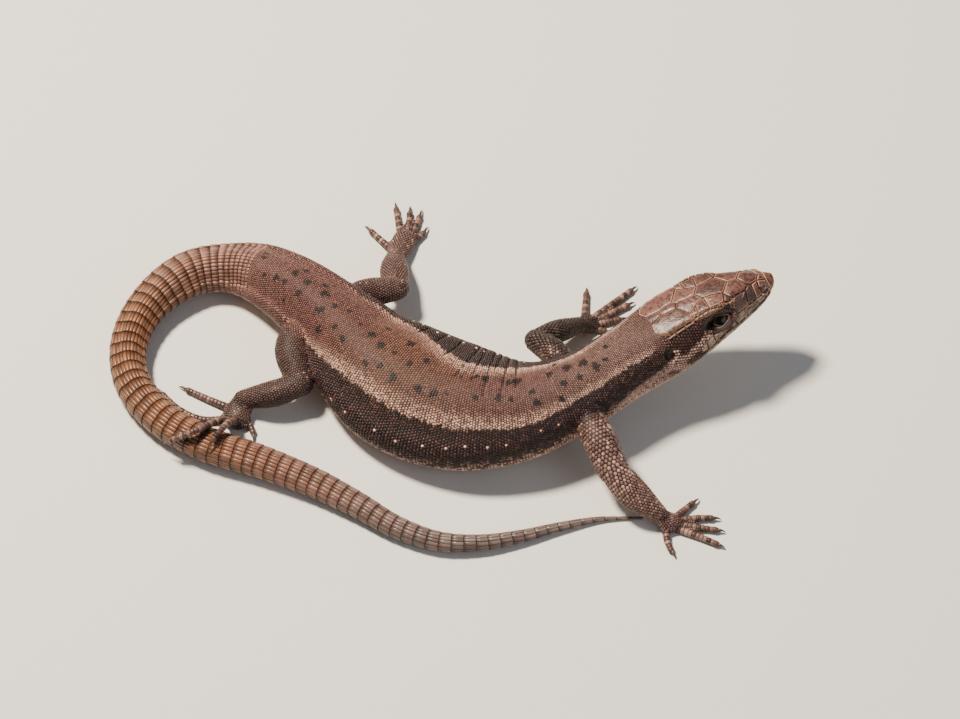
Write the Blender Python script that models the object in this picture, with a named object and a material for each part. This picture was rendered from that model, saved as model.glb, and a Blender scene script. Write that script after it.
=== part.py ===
"""A wall lizard at rest, life size, as closed solids: head, lower jaw, eyes, ear drums, neck, trunk,
tail in six lengths, and four legs, each as upper leg, lower leg, foot and five claws.

The body is one sweep along a bent centre line, from the snout to the tail tip, parted by thin cuts.
Its distances run along that line from the snout. All lengths are millimetres until MM makes metres.
The belly, the tail and the soles end on flats at floor level, z = 0.
"""

import math

import bmesh
import bpy
import numpy as np
from mathutils import Matrix, Vector

MM = 0.001
GAP = 0.3
FLOOR = 0.0
SHARP_ANGLE = math.radians(50)
CENTRE = Vector((4.826, 2.51, 0.0))  # puts the middle of the finished animal over the origin

# The centre line from above, snout to tail tip, before CENTRE is added.
ROUTE = [
    (34.5, 3.5), (29.9, 1.5), (25.3, -0.5), (20.9, -2.7), (16.8, -5.4), (12.0, -8.7),
    (5.8, -10.9), (-0.6, -10.6), (-8.4, -7.6), (-13.1, -3.7), (-16.0, 0.2), (-20.0, 4.8),
    (-23.6, 8.2), (-26.4, 10.2), (-29.6, 11.4), (-34.0, 11.3), (-38.6, 8.2), (-41.4, 3.8),
    (-42.3, -0.4), (-41.5, -5.0), (-39.0, -8.8), (-33.3, -13.2), (-26.1, -16.0), (-19.2, -19.1),
    (-14.6, -21.8), (-9.6, -25.0), (-4.8, -26.8), (0.0, -26.9), (4.7, -25.9), (9.4, -24.4),
    (14.1, -23.2), (19.2, -22.9),
]
DISTANCES = [0.0]
for back, front in zip(ROUTE, ROUTE[1:]):
    DISTANCES.append(DISTANCES[-1] + math.dist(back, front))
TAIL_TIP = DISTANCES[-1]

# Where the body is parted, and how far apart its sections are.
HEAD_END = 16.5
NECK_END = 29.0
VENT = 70.0
NOSE_SECTIONS = [0.0, 0.35, 0.9, 1.7]
FACE_START = 2.6
TAIL_CUTS = [VENT, 86.0, 102.0, 118.0, 135.0, 152.0, TAIL_TIP]
HEAD_STEP = 1.3
TRUNK_STEP = 2.6
TAIL_STEP = 3.2
FRAME_REACH = 0.3  # how far on either side of a section its heading is read

# The tail's radius, and the body's section, at distances from the snout.
TAIL_RADIUS = [
    (77, 3.05), (83, 2.8), (89, 2.45), (95, 2.28), (107, 2.26), (117, 2.12), (127, 1.82),
    (137, 1.46), (147, 1.14), (155, 0.80), (160, 0.58), (164, 0.38), (TAIL_TIP, 0.25),
]
HALF_WIDTH = [
    (0, 0.7), (0.75, 1.6), (1.9, 2.25), (3.7, 2.85), (5.5, 3.4), (7.4, 3.95), (9.2, 4.4),
    (11, 4.65), (13, 4.75), (15, 4.65), (18, 4.4), (22, 4.4), (26, 4.8), (30, 5.5), (34, 6.7),
    (39, 8.0), (44, 8.4), (50, 8.0), (56, 6.4), (62, 5.1), (67, 4.5), (72, 3.9),
] + TAIL_RADIUS
TOP = [
    (0, 0.5), (0.9, 1.3), (2.3, 2.1), (3.7, 2.55), (5.5, 2.95), (7.4, 3.25), (9.2, 3.4),
    (13, 3.45), (17, 3.45), (21, 3.7), (27, 4.2), (34, 4.8), (42, 5.1), (50, 5.1), (58, 4.7),
    (65, 4.3), (71, 3.7),
] + TAIL_RADIUS
BOTTOM = [
    (0, 0.6), (0.9, 1.25), (2.3, 1.8), (3.7, 2.2), (5.5, 2.6), (7.4, 2.9), (9.2, 3.2),
    (11, 3.9), (13, 4.7), (15, 5.2), (18, 5.4), (22, 5.1), (26, 4.7), (30, 4.9), (35, 5.4),
    (42, 5.4), (58, 5.2), (65, 4.8), (71, 3.9),
] + TAIL_RADIUS
AXIS_HEIGHT = [
    (0, 12.0), (7, 10.3), (14, 8.5), (18, 7.7), (23, 6.9), (29, 6.1), (35, 5.4), (41, 5.05),
    (58, 4.8), (65, 4.45), (71, 3.7),
] + [(distance, 0.94 * radius) for distance, radius in TAIL_RADIUS]
WIDEST = [
    (0, -0.3), (2, -0.8), (5, -1.1), (9, -1.3), (13, -1.1), (17, -0.8), (22, -0.3), (34, -0.3),
    (46, -0.6), (60, -0.5), (72, -0.1), (80, 0.0), (TAIL_TIP, 0.0),
]
# The flat of the crown as a part of the half width, and its drop as a part of the height.
CROWN = [
    (0, 0.6), (2, 0.66), (3.6, 0.66), (5, 0.72), (6.5, 0.83), (8.2, 0.83), (10, 0.73), (13, 0.70),
    (17, 0.70), (30, 0.707), (TAIL_TIP, 0.707),
]
CROWN_DROP = [
    (0, 0.25), (3, 0.18), (6, 0.12), (9, 0.10), (13, 0.13), (17, 0.24), (23, 0.293),
    (TAIL_TIP, 0.293),
]
# The head leans to its left, in degrees.
LEAN = [(0, 12), (15, 12), (22, 6), (30, 0), (TAIL_TIP, 0)]

# The mouth: a flat cut from the snout to its corner, set in the frame of one section of the head.
MOUTH_CORNER = 10.8
MOUTH_SECTION = 5.0
MOUTH_FRONT_HEIGHT = -0.35
MOUTH_CORNER_HEIGHT = -1.5
MOUTH_BLOCK_WIDTH = 20.0
MOUTH_BLOCK_FRONT = -3.0
MOUTH_BLOCK_BOTTOM = -9.0

EYE_RADIUS = 1.45
EYE_PLACE = (7.6, 2.75, 0.4)  # distance from the snout, sideways, up
EAR_RADII = (0.75, 0.8, 1.0)
EAR_PLACE = (15.2, 4.45, 0.8)
EAR_DRUM_RADII = (0.55, 0.275, 0.75)

CLAW_RADIUS = 0.27
CLAW_TIP_RADIUS = 0.05
CLAW_GAP = 0.12
CLAW_ARCH = 0.1
CLAW_FALL = 0.22
CLAW_RINGS = (0, 0.5, 1)  # where a claw has rings, as parts of its length
TOE_JOINTS = (0, 0.35, 0.7, 1)  # where a toe has joints, as parts of its length
TOE_LINE_STEPS = 40

# Each leg's joints as (x, y, z, radius), before CENTRE is added, and each toe's middle line as
# (x, y, z) from the sole to the claw's tip, in order from the first toe to the fifth.
LEGS = {
    "right_fore": {
        "upper": [(12.4, -12.4, 6.3, 1.8), (13.9, -15.6, 6.3, 2.05), (15.6, -19.3, 5.0, 1.9)],
        "lower": [(15.6, -19.3, 5.0, 1.75), (17.9, -21.5, 3.5, 1.95), (21.1, -23.4, 1.75, 1.1)],
        "palm": [(21.1, -23.4, 1.4, 1.05), (22.3, -23.9, 0.8, 1.35), (23.0, -24.0, 0.65, 1.15)],
        "claw": 1.0,
        "toes": [
            [(21.8, -24.4, 0.48), (22.0, -26.6, 0.46), (22.9, -28.6, 0.36)],
            [(22.7, -24.4, 0.48), (25.5, -25.6, 0.46), (28.8, -27.2, 0.36)],
            [(22.9, -24.0, 0.48), (26.0, -24.5, 0.48), (28.9, -24.9, 0.36)],
            [(22.9, -23.6, 0.48), (25.8, -23.1, 0.48), (28.4, -23.1, 0.36)],
            [(22.8, -23.2, 0.48), (24.4, -21.6, 0.46), (25.9, -20.2, 0.36)],
        ],
    },
    "left_fore": {
        "upper": [(10.6, -6.6, 6.2, 1.8), (8.8, -3.2, 5.9, 1.75), (6.5, -0.6, 4.9, 1.35)],
        "lower": [(6.5, -0.6, 4.9, 1.25), (9.2, 1.6, 3.5, 1.5), (12.0, 3.9, 1.75, 1.05)],
        "palm": [(12.0, 3.9, 1.4, 1.05), (12.9, 4.7, 0.8, 1.35), (13.5, 5.2, 0.65, 1.15)],
        "claw": 1.0,
        "toes": [
            [(13.2, 4.2, 0.48), (14.7, 4.0, 0.46), (16.2, 3.5, 0.36)],
            [(13.4, 4.7, 0.48), (15.8, 5.3, 0.46), (18.0, 5.9, 0.36)],
            [(13.4, 5.0, 0.48), (16.2, 6.7, 0.48), (18.9, 8.3, 0.36)],
            [(13.2, 5.3, 0.48), (16.2, 8.0, 0.48), (19.2, 10.7, 0.36)],
            [(12.6, 5.3, 0.48), (12.8, 8.0, 0.46), (13.0, 10.6, 0.36)],
        ],
    },
    "right_hind": {
        "upper": [(-20.2, 3.2, 3.7, 2.1), (-22.4, -1.4, 4.2, 2.25), (-21.3, -6.2, 3.7, 1.6)],
        "lower": [(-21.3, -6.2, 3.7, 1.45), (-24.6, -7.0, 2.9, 1.7), (-28.4, -7.0, 1.8, 1.15)],
        "palm": [(-28.4, -7.0, 1.5, 1.2), (-28.9, -8.5, 0.95, 1.8), (-29.2, -9.5, 0.75, 1.7)],
        "claw": 1.2,
        "toes": [
            [(-28.2, -8.8, 0.48), (-27.1, -10.6, 0.46), (-26.9, -12.3, 0.36)],
            [(-29.0, -9.6, 0.8), (-29.5, -11.2, 3.1), (-30.7, -13.9, 5.1), (-32.2, -15.7, 4.1)],
            [(-29.7, -9.6, 0.8), (-30.6, -11.0, 3.2), (-32.3, -13.1, 5.1), (-34.6, -14.2, 4.8),
             (-37.5, -13.7, 2.4)],
            [(-30.1, -9.1, 0.48), (-34.0, -8.9, 0.48), (-37.0, -6.6, 0.48), (-38.8, -4.3, 0.36)],
            [(-29.6, -7.6, 0.48), (-33.0, -5.9, 0.48), (-36.2, -4.1, 0.36)],
        ],
    },
    "left_hind": {
        "upper": [(-17.4, 2.4, 4.0, 2.1), (-14.2, 6.2, 4.5, 2.0), (-9.9, 7.6, 4.1, 1.5)],
        "lower": [(-9.9, 7.6, 4.1, 1.4), (-10.4, 11.0, 3.0, 1.85), (-10.3, 14.1, 2.0, 1.15)],
        "palm": [(-10.3, 14.1, 1.6, 1.15), (-9.6, 16.3, 0.9, 1.55), (-9.1, 17.8, 0.7, 1.5)],
        "claw": 1.2,
        "toes": [
            [(-8.2, 17.2, 0.48), (-7.0, 18.5, 0.46), (-6.3, 19.8, 0.36)],
            [(-8.4, 18.0, 0.48), (-7.7, 20.2, 0.46), (-7.1, 22.4, 0.36)],
            [(-9.0, 18.3, 0.48), (-8.7, 20.6, 0.48), (-8.6, 23.0, 0.36)],
            [(-9.7, 18.0, 0.48), (-10.1, 20.8, 0.48), (-10.5, 23.6, 0.36)],
            [(-10.6, 15.8, 0.48), (-12.4, 17.8, 0.48), (-14.2, 19.9, 0.36)],
        ],
    },
}
TOE_RADIUS = 0.52
TOE_TIP_RADIUS = 0.38
PALM_FLATNESS = 0.62

# How finely the round shapes are faceted.
BALL_SIDES = 12
LIMB_SIDES = 12
TOE_SIDES = 6
CLAW_SIDES = 6
LIMB_STEPS = 4
PALM_STEPS = 3
BODY_TOOL_STEP = 2.1
ROUND_END = (0.25, 0.65)  # where a limb's round end has rings, as parts of a quarter turn


def clear_scene():
    for thing in list(bpy.data.objects):
        bpy.data.objects.remove(thing, do_unlink=True)


def finish(name, colour, roughness):
    """A plain Principled material, its colour given as sRGB 0 to 255."""
    material = bpy.data.materials.new(name)
    material.use_nodes = True
    shader = material.node_tree.nodes["Principled BSDF"]
    linear = [(channel / 255) ** 2.2 for channel in colour]
    shader.inputs["Base Color"].default_value = (*linear, 1)
    shader.inputs["Roughness"].default_value = roughness
    shader.inputs["Metallic"].default_value = 0
    return material


def along(table, distance):
    """The smooth value at a distance, through a table of (distance, value)."""
    places, values = (np.array(column, float) for column in zip(*table))
    slopes = np.gradient(values, places)
    at = int(np.clip(np.searchsorted(places, distance) - 1, 0, len(places) - 2))
    span = places[at + 1] - places[at]
    t = float(np.clip((distance - places[at]) / span, 0, 1))
    start = (2 * t**3 - 3 * t**2 + 1) * values[at] + (t**3 - 2 * t**2 + t) * span * slopes[at]
    end = (3 * t**2 - 2 * t**3) * values[at + 1] + (t**3 - t**2) * span * slopes[at + 1]
    return float(start + end)


def centre_line(distance):
    x, y = (along(list(zip(DISTANCES, column)), distance) for column in zip(*ROUTE))
    return Vector((x, y, along(AXIS_HEIGHT, distance))) + CENTRE


def body_frame(distance):
    """The centre line's point, the animal's left and its up, at a distance from the snout."""
    before = centre_line(max(distance - FRAME_REACH, 0))
    forward = before - centre_line(min(distance + FRAME_REACH, TAIL_TIP))
    level = Vector((0, 0, 1)).cross(forward).normalized()
    upright = forward.cross(level).normalized()
    lean = math.radians(along(LEAN, distance))
    left = math.cos(lean) * level - math.sin(lean) * upright
    up = math.cos(lean) * upright + math.sin(lean) * level
    return centre_line(distance), left, up


def place_on_body(distance, sideways, height):
    centre, left, up = body_frame(distance)
    return centre + sideways * left + height * up


def half_section(distance, grow):
    """The body's outline from the middle of the back, down its left, to the middle of the belly."""
    width = along(HALF_WIDTH, distance) + grow
    middle = along(WIDEST, distance)
    rise = along(TOP, distance) + grow - middle
    fall = along(BOTTOM, distance) + grow + middle
    crown = along(CROWN, distance) * width
    drop = along(CROWN_DROP, distance)
    return [
        (0, middle + rise),
        (0.54 * crown, middle + rise * (1 - 0.27 * drop)),
        (crown, middle + rise * (1 - drop)),
        (0.92 * width, middle + 0.4 * rise),
        (width, middle),
        (0.86 * width, middle - 0.52 * fall),
        (0.5 * width, middle - 0.87 * fall),
        (0, middle - fall),
    ]


def rounded(outline, steps):
    """A smooth curve through a half outline, with this many steps from one point to the next."""
    mirrored = [(-outline[1][0], outline[1][1])] + outline + [(-outline[-2][0], outline[-2][1])]
    curve = []
    for a, b, c, d in zip(mirrored, mirrored[1:], mirrored[2:], mirrored[3:]):
        for step in range(steps):
            t = step / steps
            weights = (
                (-t + 2 * t**2 - t**3) / 2,
                (2 - 5 * t**2 + 3 * t**3) / 2,
                (t + 4 * t**2 - 3 * t**3) / 2,
                (t**3 - t**2) / 2,
            )
            curve.append(tuple(sum(w * p[k] for w, p in zip(weights, (a, b, c, d))) for k in (0, 1)))
    return curve + [outline[-1]]


def body_ring(distance, steps, grow=0.0):
    """The body's closed section as points in space, standing on the floor where it reaches it."""
    centre, left, up = body_frame(distance)
    half = rounded(half_section(distance, grow), steps)
    other_half = [(-sideways, height) for sideways, height in half[-2:0:-1]]
    ring = [centre + sideways * left + height * up for sideways, height in half + other_half]
    if grow == 0:
        for point in ring:
            point.z = max(point.z, FLOOR)
    return ring


def limb_ring(centre, forward, radius, flatness, sides):
    side = Vector((0, 0, 1)).cross(forward).normalized()
    up = forward.cross(side).normalized()
    ring = []
    for turn in np.linspace(0, 2 * math.pi, sides, endpoint=False):
        ring.append(centre + radius * (math.sin(turn) * side + flatness * math.cos(turn) * up))
    return ring


def travelled(points):
    """The distance of each (x, y, z, ...) point from the first, along the line through them."""
    return np.cumsum([0] + [math.dist(a[:3], b[:3]) for a, b in zip(points, points[1:])])


def curve_through(points, steps):
    """Points of a smooth curve through a few (x, y, z, ...) points."""
    places = travelled(points)
    columns = [list(zip(places, column)) for column in zip(*points)]
    return [[along(column, at) for column in columns] for at in np.linspace(0, places[-1], steps + 1)]


def limb_rings(joints, steps, flatness, sides, grow=0.0, floor=FLOOR):
    """Rings along joints of (x, y, z, radius), with a round end past the first and the last."""
    curve = curve_through(joints, steps)
    centres = [Vector(point[:3]) + CENTRE for point in curve]
    radii = [point[3] + grow for point in curve]
    forwards = [(b - a).normalized() for a, b in zip(centres, centres[1:])]
    forwards.append(forwards[-1])

    def round_end(centre, outward, forward, radius):
        ends = []
        for turn in ROUND_END:
            past = radius * math.cos(turn * math.pi / 2) * flatness
            width = radius * math.sin(turn * math.pi / 2)
            ends.append(limb_ring(centre + past * outward, forward, width, flatness, sides))
        return ends

    rings = round_end(centres[0], -forwards[0], forwards[0], radii[0])
    for centre, forward, radius in zip(centres, forwards, radii):
        rings.append(limb_ring(centre, forward, radius, flatness, sides))
    rings += reversed(round_end(centres[-1], forwards[-1], forwards[-1], radii[-1]))
    for ring in rings:
        for point in ring:
            point.z = max(point.z, floor)
    return rings


def sweep(name, rings, material=None):
    """A closed solid through rings of equal count: a capped circle, extruded from ring to ring."""
    bm = bmesh.new()
    bmesh.ops.create_circle(bm, cap_ends=True, segments=len(rings[0]), radius=1)
    cap = bm.faces[:][0]
    for vert, point in zip(cap.verts, rings[0]):
        vert.co = point * MM
    for number, ring in enumerate(rings[1:]):
        made = bmesh.ops.extrude_face_region(bm, geom=[cap])
        if number > 0:
            bmesh.ops.delete(bm, geom=[cap], context="FACES_ONLY")
        cap = next(item for item in made["geom"] if isinstance(item, bmesh.types.BMFace))
        for vert, point in zip(cap.verts, ring):
            vert.co = point * MM
    bmesh.ops.recalc_face_normals(bm, faces=bm.faces[:])
    return add_object(name, bm, material)


def add_object(name, bm, material=None):
    mesh = bpy.data.meshes.new(name)
    bm.to_mesh(mesh)
    bm.free()
    mesh.shade_smooth()
    mesh.set_sharp_from_angle(angle=SHARP_ANGLE)
    solid = bpy.data.objects.new(name, mesh)
    bpy.context.scene.collection.objects.link(solid)
    if material:
        mesh.materials.append(material)
    return solid


def as_tool(solid):
    """Marks a solid that only cuts or joins others."""
    solid.hide_render = True
    solid.display_type = "WIRE"
    return solid


def combine(solid, tool, operation):
    modifier = solid.modifiers.new(tool.name, "BOOLEAN")
    modifier.operation = operation
    modifier.object = tool
    modifier.solver = "EXACT"


def ball(name, place, radii, axes, material=None):
    """An ellipsoid whose radii follow axes, a centre, a left and an up."""
    bm = bmesh.new()
    bmesh.ops.create_uvsphere(bm, u_segments=BALL_SIDES, v_segments=BALL_SIDES // 2, radius=1)
    left, up = axes
    turn = Matrix((left.cross(up), left, up)).transposed().to_4x4()
    bmesh.ops.transform(bm, matrix=Matrix.Diagonal((*radii, 1)), verts=bm.verts)
    bmesh.ops.transform(bm, matrix=turn, verts=bm.verts)
    bmesh.ops.translate(bm, vec=place, verts=bm.verts)
    bmesh.ops.scale(bm, vec=(MM, MM, MM), verts=bm.verts)
    return add_object(name, bm, material)


def body_length(name, start, end, step, steps_round, material):
    """One length of the body, from one distance from the snout to another."""
    count = max(2, round((end - start) / step))
    places = np.linspace(start, end, count + 1)
    return sweep(name, [body_ring(place, steps_round) for place in places], material)


def make_head(skin, jaw_skin, eye_finish, drum_finish):
    """The head with its eye sockets and ear openings, the jaw, the eyes and the ear drums."""
    def head_rings():
        rest = np.linspace(FACE_START, HEAD_END - GAP / 2, round(HEAD_END / HEAD_STEP))
        return [body_ring(place, 2) for place in [*NOSE_SECTIONS, *rest]]

    def under_mouth(name, lift, reach):
        """A block that holds all below the mouth: lift raises its top, reach its back."""
        bm = bmesh.new()
        bmesh.ops.create_cube(bm, size=1)
        corner = MOUTH_CORNER + reach
        slope = (MOUTH_CORNER_HEIGHT - MOUTH_FRONT_HEIGHT) / MOUTH_CORNER
        centre, left, up = body_frame(MOUTH_SECTION)
        forward = left.cross(up)
        for vert in bm.verts:
            distance = corner if vert.co.x > 0 else MOUTH_BLOCK_FRONT
            mouth_height = MOUTH_FRONT_HEIGHT + slope * distance + lift
            height = mouth_height if vert.co.z > 0 else MOUTH_BLOCK_BOTTOM
            place = centre + (MOUTH_SECTION - distance) * forward + height * up
            vert.co = (place + MOUTH_BLOCK_WIDTH * vert.co.y * left) * MM
        bmesh.ops.recalc_face_normals(bm, faces=bm.faces[:])
        return as_tool(add_object(name, bm))

    head = sweep("head", head_rings(), skin)
    jaw = sweep("lower_jaw", head_rings(), jaw_skin)
    combine(head, under_mouth("mouth_cut", GAP / 2, GAP), "DIFFERENCE")
    combine(jaw, under_mouth("jaw_keep", -GAP / 2, 0), "INTERSECT")
    for side, sign in (("left", 1), ("right", -1)):
        distance, sideways, height = EYE_PLACE
        axes = body_frame(distance)[1:]
        place = place_on_body(distance, sign * sideways, height)
        ball("eye_" + side, place, [EYE_RADIUS] * 3, axes, eye_finish)
        socket = ball("socket_" + side, place, [EYE_RADIUS + GAP / 2] * 3, axes)
        combine(head, as_tool(socket), "DIFFERENCE")
        distance, sideways, height = EAR_PLACE
        axes = body_frame(distance)[1:]
        place = place_on_body(distance, sign * sideways, height)
        combine(head, as_tool(ball("ear_" + side, place, EAR_RADII, axes)), "DIFFERENCE")
        deeper = place_on_body(distance, sign * (sideways - EAR_DRUM_RADII[1]), height)
        ball("ear_drum_" + side, deeper, EAR_DRUM_RADII, axes, drum_finish)


def make_body(neck_skin, trunk_skin, tail_skin):
    body_length("neck", HEAD_END + GAP / 2, NECK_END - GAP / 2, TRUNK_STEP, 2, neck_skin)
    body_length("trunk", NECK_END + GAP / 2, VENT - GAP / 2, TRUNK_STEP, 2, trunk_skin)
    for number, (start, end) in enumerate(zip(TAIL_CUTS, TAIL_CUTS[1:]), start=1):
        last = end if end == TAIL_TIP else end - GAP / 2
        body_length(f"tail_{number}", start + GAP / 2, last, TAIL_STEP, 1, tail_skin)


def make_leg(name, leg, body_tool, skin, foot_skin, claw_finish):
    """A leg of three solids, each hollowed by the one before it, and five claws."""
    def limb(part, end_name, grow=0.0, floor=FLOOR, material=None):
        rings = limb_rings(leg[part], LIMB_STEPS, 1.0, LIMB_SIDES, grow, floor)
        return sweep(name + end_name, rings, material)

    upper = limb("upper", "_upper", material=skin)
    combine(upper, body_tool, "DIFFERENCE")
    lower = limb("lower", "_lower", material=skin)
    combine(lower, as_tool(limb("upper", "_knee_tool", GAP, -GAP)), "DIFFERENCE")
    palm = limb_rings(leg["palm"], PALM_STEPS, PALM_FLATNESS, LIMB_SIDES)
    foot = sweep(name + "_foot", palm, foot_skin)
    for number, line in enumerate(leg["toes"], start=1):
        toe, claw = toe_and_claw(line, leg["claw"])
        piece = sweep(f"{name}_toe_{number}", limb_rings(toe, LIMB_STEPS, 1.0, TOE_SIDES))
        combine(foot, as_tool(piece), "UNION")
        sweep(f"{name}_claw_{number}", claw, claw_finish)
    combine(foot, as_tool(limb("lower", "_ankle_tool", GAP, -GAP)), "DIFFERENCE")


def toe_and_claw(line, claw_length):
    """A toe's joints with their radii, and the rings of the hooked claw that ends its line."""
    curve = curve_through(line, TOE_LINE_STEPS)
    lengths = travelled(curve)

    def at(length):
        return Vector([float(np.interp(length, lengths, column)) for column in zip(*curve)])

    toe_end = lengths[-1] - claw_length - CLAW_GAP - TOE_TIP_RADIUS
    joints = []
    for part in TOE_JOINTS:
        joints.append((*at(part * toe_end), TOE_RADIUS + part * (TOE_TIP_RADIUS - TOE_RADIUS)))
    forward = (at(lengths[-1]) - at(lengths[-1] - claw_length)).normalized()
    rings = []
    for part in CLAW_RINGS:
        spot = at(lengths[-1] - (1 - part) * claw_length) + CENTRE
        spot.z += CLAW_ARCH * math.sin(math.pi * part) - CLAW_FALL * part**2
        radius = CLAW_RADIUS + part * (CLAW_TIP_RADIUS - CLAW_RADIUS)
        rings.append(limb_ring(spot, forward, radius, 1.0, CLAW_SIDES))
    return joints, rings


def main():
    clear_scene()
    head_skin = finish("head_scales", (122, 84, 66), 0.45)
    jaw_skin = finish("jaw_scales", (150, 128, 110), 0.5)
    neck_skin = finish("neck_scales", (118, 82, 64), 0.5)
    trunk_skin = finish("trunk_scales", (112, 76, 58), 0.5)
    tail_skin = finish("tail_scales", (126, 92, 66), 0.5)
    leg_skin = finish("leg_scales", (98, 80, 68), 0.55)
    foot_skin = finish("foot_scales", (92, 78, 66), 0.55)
    claw_finish = finish("claw_horn", (60, 46, 36), 0.3)
    eye_finish = finish("eye_surface", (40, 26, 18), 0.08)
    drum_finish = finish("ear_drum_skin", (60, 46, 40), 0.4)
    make_head(head_skin, jaw_skin, eye_finish, drum_finish)
    make_body(neck_skin, trunk_skin, tail_skin)
    steps = round((TAIL_CUTS[1] - HEAD_END) / BODY_TOOL_STEP)
    tool_places = np.linspace(HEAD_END, TAIL_CUTS[1], steps + 1)
    body_tool = as_tool(sweep("body_tool", [body_ring(place, 2, GAP) for place in tool_places]))
    for name, leg in LEGS.items():
        make_leg(name, leg, body_tool, leg_skin, foot_skin, claw_finish)


main()
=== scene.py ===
# %% [markdown]
# # A wall lizard, life size
#
# The animal is built in the order a model maker would work: the flesh as one skin, the eyes and
# claws, then the scales, which are laid row by row over the skin. The solids of the frame give the
# pose, so every place here is worked out from the same driving sizes, in millimetres.

# %% Load the frame
import itertools
import math

import bmesh
import bpy
import numpy as np
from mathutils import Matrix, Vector
from mathutils.bvhtree import BVHTree
from mathutils.kdtree import KDTree


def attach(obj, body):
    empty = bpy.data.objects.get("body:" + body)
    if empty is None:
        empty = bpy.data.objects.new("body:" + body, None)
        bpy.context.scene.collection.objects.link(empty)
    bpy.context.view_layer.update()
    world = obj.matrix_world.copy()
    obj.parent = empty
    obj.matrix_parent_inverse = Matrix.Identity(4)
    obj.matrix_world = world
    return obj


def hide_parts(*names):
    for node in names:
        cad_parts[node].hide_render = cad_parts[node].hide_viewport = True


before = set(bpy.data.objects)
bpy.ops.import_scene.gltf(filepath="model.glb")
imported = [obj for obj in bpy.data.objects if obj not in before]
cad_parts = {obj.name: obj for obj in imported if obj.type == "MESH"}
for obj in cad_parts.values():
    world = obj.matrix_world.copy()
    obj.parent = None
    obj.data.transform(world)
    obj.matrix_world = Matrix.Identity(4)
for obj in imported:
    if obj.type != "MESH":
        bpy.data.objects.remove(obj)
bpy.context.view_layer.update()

# %% [markdown]
# ## The body's sizes
#
# A lizard's body is one long tube, so it is described by a centre line seen from above and by
# tables of widths and heights along it. A distance always runs from the snout, along the centre
# line, to the tail tip. The skin lies a little inside the solids, by the depth of its scales.

# %% The centre line and the tables along it
MM = 0.001
FLOOR = 0.0
CENTRE = np.array((4.826, 2.51, 0.0))
COAT = 0.13
ROUTE = [
    (34.5, 3.5), (29.9, 1.5), (25.3, -0.5), (20.9, -2.7), (16.8, -5.4), (12.0, -8.7),
    (5.8, -10.9), (-0.6, -10.6), (-8.4, -7.6), (-13.1, -3.7), (-16.0, 0.2), (-20.0, 4.8),
    (-23.6, 8.2), (-26.4, 10.2), (-29.6, 11.4), (-34.0, 11.3), (-38.6, 8.2), (-41.4, 3.8),
    (-42.3, -0.4), (-41.5, -5.0), (-39.0, -8.8), (-33.3, -13.2), (-26.1, -16.0), (-19.2, -19.1),
    (-14.6, -21.8), (-9.6, -25.0), (-4.8, -26.8), (0.0, -26.9), (4.7, -25.9), (9.4, -24.4),
    (14.1, -23.2), (19.2, -22.9),
]
DISTANCES = np.cumsum([0.0] + [math.dist(a, b) for a, b in zip(ROUTE, ROUTE[1:])])
TAIL_TIP = float(DISTANCES[-1])
HEAD_END = 16.5
NECK_END = 29.0
VENT = 70.0
FRAME_REACH = 0.3
TAIL_RADIUS = [
    (77, 3.05), (83, 2.8), (89, 2.45), (95, 2.28), (107, 2.26), (117, 2.12), (127, 1.82),
    (137, 1.46), (147, 1.14), (155, 0.80), (160, 0.58), (164, 0.38), (TAIL_TIP, 0.25),
]
HALF_WIDTH = [
    (0, 0.7), (0.75, 1.6), (1.9, 2.25), (3.7, 2.85), (5.5, 3.4), (7.4, 3.95), (9.2, 4.4),
    (11, 4.65), (13, 4.75), (15, 4.65), (18, 4.4), (22, 4.4), (26, 4.8), (30, 5.5), (34, 6.7),
    (39, 8.0), (44, 8.4), (50, 8.0), (56, 6.4), (62, 5.1), (67, 4.5), (72, 3.9),
] + TAIL_RADIUS
TOP = [
    (0, 0.5), (0.9, 1.3), (2.3, 2.1), (3.7, 2.55), (5.5, 2.95), (7.4, 3.25), (9.2, 3.4),
    (13, 3.45), (17, 3.45), (21, 3.7), (27, 4.2), (34, 4.8), (42, 5.1), (50, 5.1), (58, 4.7),
    (65, 4.3), (71, 3.7),
] + TAIL_RADIUS
BOTTOM = [
    (0, 0.6), (0.9, 1.25), (2.3, 1.8), (3.7, 2.2), (5.5, 2.6), (7.4, 2.9), (9.2, 3.2),
    (11, 3.9), (13, 4.7), (15, 5.2), (18, 5.4), (22, 5.1), (26, 4.7), (30, 4.9), (35, 5.4),
    (42, 5.4), (58, 5.2), (65, 4.8), (71, 3.9),
] + TAIL_RADIUS
AXIS_HEIGHT = [
    (0, 12.0), (7, 10.3), (14, 8.5), (18, 7.7), (23, 6.9), (29, 6.1), (35, 5.4), (41, 5.05),
    (58, 4.8), (65, 4.45), (71, 3.7),
] + [(distance, 0.94 * radius) for distance, radius in TAIL_RADIUS]
WIDEST = [
    (0, -0.3), (2, -0.8), (5, -1.1), (9, -1.3), (13, -1.1), (17, -0.8), (22, -0.3), (34, -0.3),
    (46, -0.6), (60, -0.5), (72, -0.1), (80, 0.0), (TAIL_TIP, 0.0),
]
# The flat of the crown as a part of the half width, and its drop as a part of the height.
CROWN = [
    (0, 0.6), (2, 0.66), (3.6, 0.66), (5, 0.72), (6.5, 0.83), (8.2, 0.83), (10, 0.73), (13, 0.70),
    (17, 0.70), (30, 0.707), (TAIL_TIP, 0.707),
]
CROWN_DROP = [
    (0, 0.25), (3, 0.18), (6, 0.12), (9, 0.10), (13, 0.13), (17, 0.24), (23, 0.293),
    (TAIL_TIP, 0.293),
]
# The head leans to its left, in degrees.
LEAN = [(0, 12), (15, 12), (22, 6), (30, 0), (TAIL_TIP, 0)]
print("length along the centre line in mm:", round(TAIL_TIP, 1))

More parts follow.
